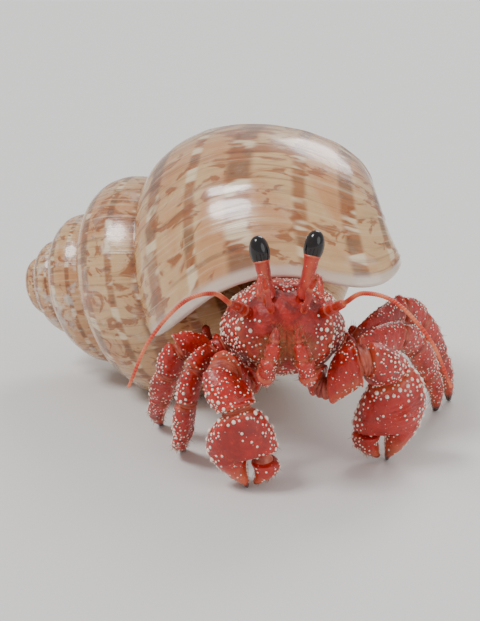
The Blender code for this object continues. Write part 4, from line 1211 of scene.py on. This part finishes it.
def granules_on(grid, kind, rng):
    """Beads that stand straight up and don't touch, larger where they stand thickest."""
    look = settings()
    small, large, tries = GRANULES[kind]
    weight = granule_weight(kind, grid)
    count = max(int(weighted_area(grid, weight) * tries * look.granule_amount), 8)
    places, ways, ahead, roots, thick = scattered(grid, weight, count, rng)
    radii = small + (large - small) * rng.random(count) ** 1.8 * np.clip(thick, 0.3, 1)
    radii = radii * look.granule_size
    kept = spaced(places, radii)
    places, ways, ahead, roots, radii = (v[kept] for v in (places, ways, ahead, roots, radii))
    side = unit(np.cross(ahead, ways))
    flat, low = (radii * rng.uniform(*span, len(radii)) for span in ((0.85, 1.0), (0.55, 0.8)))
    return places, np.stack([np.cross(side, ways), side, ways], 1), np.stack([radii, flat, low], -1), roots


def make_granules():
    """White beads over the armour, thickest along edges, crests and limb ends."""
    sown("_granules", "granule", GRANULES, "body", GRANULE_SEED, dome(7, 3), granules_on)


def hair_weight(kind, grid):
    """Where bristles stand thickest: in tufts along edges and towards the ends."""
    u, a, aside = places_on(grid)
    if kind == "jointed":
        return (0.6 + 0 * a) * smooth(u, 0.35, 0.9) * smooth(u, 1.0, 0.97)
    if kind == "jaw":
        edges = 0.15 + hump(a, 0, 0.6) + hump(aside, math.pi, 0.6)
        return edges * smooth(u, 0.15, 0.8) * smooth(u, 1.0, 0.97)
    edges = 0.2 + hump(aside, math.pi, 0.8) + 0.5 * hump(a, 0, 0.5)
    return edges * smooth(u, 0.05, 0.5) * smooth(u, 0.97, 0.85)


def hairs_on(grid, kind, rng):
    """Thin bent bristles that lean towards the limb's end, rooted a little under the skin."""
    look = settings()
    amount, length, lean = HAIRS[kind]
    weight = hair_weight(kind, grid)
    count = int(weighted_area(grid, weight) * amount * look.hair_amount) + 4
    places, ways, ahead, roots, _ = scattered(grid, weight, count, rng)
    up = unit(ways + ahead * lean + rng.normal(size=places.shape) * 0.16)
    side = unit(np.cross(up, ahead + 0.01))
    tall = length * rng.uniform(0.55, 1.15, count) * look.hair_length / MM
    thin = np.full(count, look.hair_radius / MM)
    frames = np.stack([np.cross(side, up), side, up], 1)
    return places - up * 0.05, frames, np.stack([thin, thin, tall], -1), roots


def make_hairs():
    """Bristles on the limbs and about the mouth."""
    sown("_hairs", "hair", HAIRS, "head", HAIR_SEED, bristle(), hairs_on)


# ---------------------------------------------------------------- settings

def colour(name, default, description):
    """A colour that the user can change."""
    return bpy.props.FloatVectorProperty(name=name, description=description, subtype="COLOR", size=3, min=0.0,
                                         max=1.0, default=default)


def number(name, default, low, high, description, unit="NONE"):
    """A size or an amount that the user can change."""
    return bpy.props.FloatProperty(name=name, description=description, default=default, min=low, max=high,
                                   unit=unit)


class HermitCrabLook(bpy.types.PropertyGroup):
    """Sizes and colours of the crab and its shell."""
    wall: number("Shell wall", 0.0017, 0.0005, 0.004, "Thickness of the shell at its lip", "LENGTH")
    shell_cream: colour("Shell cream", (0.62, 0.38, 0.18), "Ground colour of the shell")
    shell_peach: colour("Shell peach", (0.54, 0.22, 0.08), "Warm clouds in the ground colour")
    shell_honey: colour("Shell honey", (0.28, 0.075, 0.016), "Bands that run round the turns")
    shell_brown: colour("Shell brown", (0.15, 0.05, 0.018), "Darker growth lines and dashes")
    shell_light: colour("Shell light", (0.82, 0.66, 0.43), "Light dashes and growth lines")
    shell_chalk: colour("Shell chalk", (0.66, 0.60, 0.53), "Where the surface is worn off")
    shell_stain: colour("Shell stain", (0.20, 0.18, 0.08), "Faint green-brown stains")
    pearl: colour("Pearl", (0.80, 0.76, 0.68), "Inside of the shell")
    pearl_warm: colour("Warm pearl", (0.74, 0.58, 0.48), "Warmer clouds inside the shell")
    armour_colour: colour("Armour", (0.47, 0.012, 0.004), "Main red of the hard skin")
    armour_dark: colour("Dark armour", (0.17, 0.005, 0.002), "Dark mottling")
    armour_light: colour("Light armour", (0.66, 0.055, 0.012), "Orange mottling")
    armour_pale: colour("Pale armour", (0.76, 0.22, 0.09), "Rims, undersides and finger ends")
    tip_colour: colour("Claw tips", (0.045, 0.018, 0.012), "Horn at the ends of legs and fingers")
    joint_colour: colour("Joint skin", (0.30, 0.035, 0.02), "Soft skin between the limbs' parts")
    joint_light: colour("Light joint skin", (0.50, 0.11, 0.06), "Paler clouds in the joints' skin")
    flesh_colour: colour("Flesh", (0.50, 0.13, 0.07), "Soft skin of the trunk and abdomen")
    flesh_light: colour("Light flesh", (0.72, 0.34, 0.22), "Paler clouds in the soft skin")
    granule_colour: colour("Granules", (0.92, 0.86, 0.76), "White beads on the armour")
    granule_warm: colour("Warm granules", (0.95, 0.78, 0.62), "Warmer beads among them")
    granule_size: number("Granule size", 1.0, 0.3, 2.0, "Size of the beads, as a factor")
    granule_amount: number("Granule amount", 1.0, 0.1, 2.0, "Number of beads, as a factor")
    cornea_colour: colour("Cornea", (0.006, 0.005, 0.006), "Colour of the eyes")
    cornea_brown: colour("Cornea brown", (0.020, 0.008, 0.005), "Brown depth in the eyes")
    cornea_net: colour("Cornea net", (0.028, 0.016, 0.012), "Lines between the facets")
    tooth_colour: colour("Teeth", (0.88, 0.82, 0.72), "Teeth on the fixed fingers")
    tooth_stain: colour("Tooth stain", (0.80, 0.62, 0.46), "Stains on the teeth")
    hair_colour: colour("Hair", (0.42, 0.20, 0.07), "Colour of the bristles")
    hair_dark: colour("Dark hair", (0.22, 0.09, 0.03), "Darker bristles among them")
    hair_length: number("Hair length", 0.001, 0.0002, 0.003, "Length of the common bristles", "LENGTH")
    hair_radius: number("Hair radius", 0.000045, 0.00001, 0.0001, "Half the bristles' thickness", "LENGTH")
    hair_amount: number("Hair amount", 1.0, 0.0, 3.0, "Number of bristles, as a factor")


class HermitCrabStage(bpy.types.PropertyGroup):
    """Floor, lights and camera."""
    floor_colour: colour("Floor", (0.78, 0.77, 0.75), "Colour of the floor")
    sky: number("Sky", 0.68, 0.0, 3.0, "Strength of the pale sky")
    lens: number("Lens", 70.0, 20.0, 200.0, "Focal length of the camera in millimetres")
    distance: number("Distance", 0.252, 0.1, 2.0, "From the camera to what it looks at", "LENGTH")
    elevation: number("Elevation", math.radians(16.0), 0.0, 1.5, "How far the camera looks down", "ROTATION")


# ---------------------------------------------------------------- floor, lights and camera

FLOOR_SIDES = 96
FLOOR_RADIUS = 4.0             # metres, as is the drop
FLOOR_DROP = 0.00002
CAMERA_TARGET = (-2.0, -14.0, 25.0)
LIGHTS = {                     # the way each comes from, its width in degrees and its strength
    "key": ((-0.52, -0.20, 0.83), 18.0, 2.0),
    "fill": ((0.62, -0.60, 0.36), 40.0, 0.7),
    "rim": ((0.25, 0.70, 0.60), 26.0, 1.1),
}


def added(name, data):
    """A new object in the scene that shows some data."""
    thing = bpy.data.objects.new(name, data)
    bpy.context.scene.collection.objects.link(thing)
    return thing


def make_floor(stage):
    """A wide flat disc just under the feet."""
    a = circle(FLOOR_SIDES)
    ring = np.stack([np.cos(a) * FLOOR_RADIUS, np.sin(a) * FLOOR_RADIUS, 0 * a - FLOOR_DROP], -1)
    mesh = bpy.data.meshes.new("floor")
    mesh.from_pydata(ring.tolist(), [], [list(range(FLOOR_SIDES))])
    s = Shader("floor")
    tone = tuple(stage.floor_colour)
    mesh.materials.append(s.finish(s.mix(s.noise(30.0, 3.0), tone, tuple(c * 0.97 for c in tone)), 0.75))
    floor = added("floor", mesh)


def make_lights(stage):
    """Three broad soft suns, so that the floor is evenly lit: a key from one side, a weaker one from the
    other side and one from behind, under a pale sky."""
    for name, (place, width, power) in LIGHTS.items():
        light = bpy.data.lights.new(name, "SUN")
        light.angle = math.radians(width)
        light.energy = power
        lamp = added(name, light)
        lamp.location = place
        way = unit(np.array(place))
        lamp.rotation_euler = (math.acos(way[2]), 0.0, math.atan2(way[1], way[0]) + math.pi / 2)
    world = bpy.data.worlds.new("sky")
    world.use_nodes = True
    sky = world.node_tree.nodes["Background"].inputs
    sky["Color"].default_value = (0.88, 0.88, 0.88, 1.0)
    sky["Strength"].default_value = stage.sky
    bpy.context.scene.world = world


def make_camera(stage):
    """In front of the crab's face, a little above it."""
    target = (np.array(CAMERA_TARGET) + SHIFT) * MM
    tilt = stage.elevation
    data = bpy.data.cameras.new("camera")
    data.lens = stage.lens
    data.sensor_width = 36.0
    data.clip_start = 0.005
    camera = added("camera", data)
    camera.location = target + stage.distance * np.array((0.0, -math.cos(tilt), math.sin(tilt)))
    camera.rotation_euler = (math.pi / 2 - tilt, 0.0, 0.0)
    bpy.context.scene.camera = camera


# ---------------------------------------------------------------- operators

class OBJECT_OT_hermit_shell(bpy.types.Operator):
    """Make the turban shell"""
    bl_idname = "object.hermit_shell"
    bl_label = "Shell"

    def execute(self, context):
        make_shell()
        return {"FINISHED"}


class OBJECT_OT_hermit_body(bpy.types.Operator):
    """Make the soft body and the shield on its back"""
    bl_idname = "object.hermit_body"
    bl_label = "Body and shield"

    def execute(self, context):
        make_body()
        make_shield()
        return {"FINISHED"}


class OBJECT_OT_hermit_eyes(bpy.types.Operator):
    """Make the eyestalks, the corneas and the scales beside them"""
    bl_idname = "object.hermit_eyes"
    bl_label = "Eyes"

    def execute(self, context):
        make_eyes()
        return {"FINISHED"}


class OBJECT_OT_hermit_feelers(bpy.types.Operator):
    """Make the antennae and antennules"""
    bl_idname = "object.hermit_feelers"
    bl_label = "Feelers"

    def execute(self, context):
        make_feelers()
        return {"FINISHED"}


class OBJECT_OT_hermit_mouth(bpy.types.Operator):
    """Make the mouth limbs and the short fourth legs"""
    bl_idname = "object.hermit_mouth"
    bl_label = "Mouth limbs and short legs"

    def execute(self, context):
        make_mouth()
        return {"FINISHED"}


class OBJECT_OT_hermit_legs(bpy.types.Operator):
    """Make the four walking legs with the soft skin at their joints"""
    bl_idname = "object.hermit_legs"
    bl_label = "Walking legs"

    def execute(self, context):
        for name, spec in LEGS.items():
            make_chain(name, spec, LEG_PARTS, LEG_SIZES)
        return {"FINISHED"}


class OBJECT_OT_hermit_claws(bpy.types.Operator):
    """Make both claws with their arms, fingers and teeth"""
    bl_idname = "object.hermit_claws"
    bl_label = "Claws"

    def execute(self, context):
        for name, spec in ARMS.items():
            before, wrist, tip = (np.array(p, float) for p in (*spec["joints"], spec["tip"]))
            arm_cut, palm_cut = mitre(before, wrist, tip)
            make_palm(name, spec, palm_cut)
            make_finger(name, spec)
            make_chain(name, spec, ARM_PARTS, ARM_SIZES, arm_cut)
        return {"FINISHED"}


class OBJECT_OT_hermit_granules(bpy.types.Operator):
    """Set white granules over the armour"""
    bl_idname = "object.hermit_granules"
    bl_label = "Granules"

    def execute(self, context):
        make_granules()
        return {"FINISHED"}


class OBJECT_OT_hermit_hairs(bpy.types.Operator):
    """Set bristles on the limbs and mouth parts"""
    bl_idname = "object.hermit_hairs"
    bl_label = "Bristles"

    def execute(self, context):
        make_hairs()
        return {"FINISHED"}


class OBJECT_OT_hermit_stage(bpy.types.Operator):
    """Make the floor, the lights and the camera"""
    bl_idname = "object.hermit_stage"
    bl_label = "Floor, lights and camera"

    def execute(self, context):
        stage = context.scene.hermit_crab_stage
        make_floor(stage)
        make_lights(stage)
        make_camera(stage)
        return {"FINISHED"}


STEPS = (OBJECT_OT_hermit_shell, OBJECT_OT_hermit_body, OBJECT_OT_hermit_eyes, OBJECT_OT_hermit_feelers,
         OBJECT_OT_hermit_mouth, OBJECT_OT_hermit_legs, OBJECT_OT_hermit_claws, OBJECT_OT_hermit_granules,
         OBJECT_OT_hermit_hairs, OBJECT_OT_hermit_stage)


class VIEW3D_PT_hermit_crab(bpy.types.Panel):
    """Lists the settings and the steps that make the crab"""
    bl_idname = "VIEW3D_PT_hermit_crab"
    bl_label = "Hermit Crab"
    bl_space_type = "VIEW_3D"
    bl_region_type = "UI"
    bl_category = "Hermit Crab"

    def draw(self, context):
        for group in (context.scene.hermit_crab_look, context.scene.hermit_crab_stage):
            box = self.layout.box()
            for key in group.bl_rna.properties.keys():
                if key not in ("rna_type", "name"):
                    box.prop(group, key)
        for step in STEPS:
            self.layout.operator(step.bl_idname)


CLASSES = (HermitCrabLook, HermitCrabStage, *STEPS, VIEW3D_PT_hermit_crab)


def register():
    for item in CLASSES:
        bpy.utils.register_class(item)
    bpy.types.Scene.hermit_crab_look = bpy.props.PointerProperty(type=HermitCrabLook)
    bpy.types.Scene.hermit_crab_stage = bpy.props.PointerProperty(type=HermitCrabStage)


def unregister():
    del bpy.types.Scene.hermit_crab_stage
    del bpy.types.Scene.hermit_crab_look
    for item in reversed(CLASSES):
        bpy.utils.unregister_class(item)


def main():
    register()
    for step in STEPS:
        group, name = step.bl_idname.split(".")
        getattr(getattr(bpy.ops, group), name)()


if __name__ == "__main__":
    main()
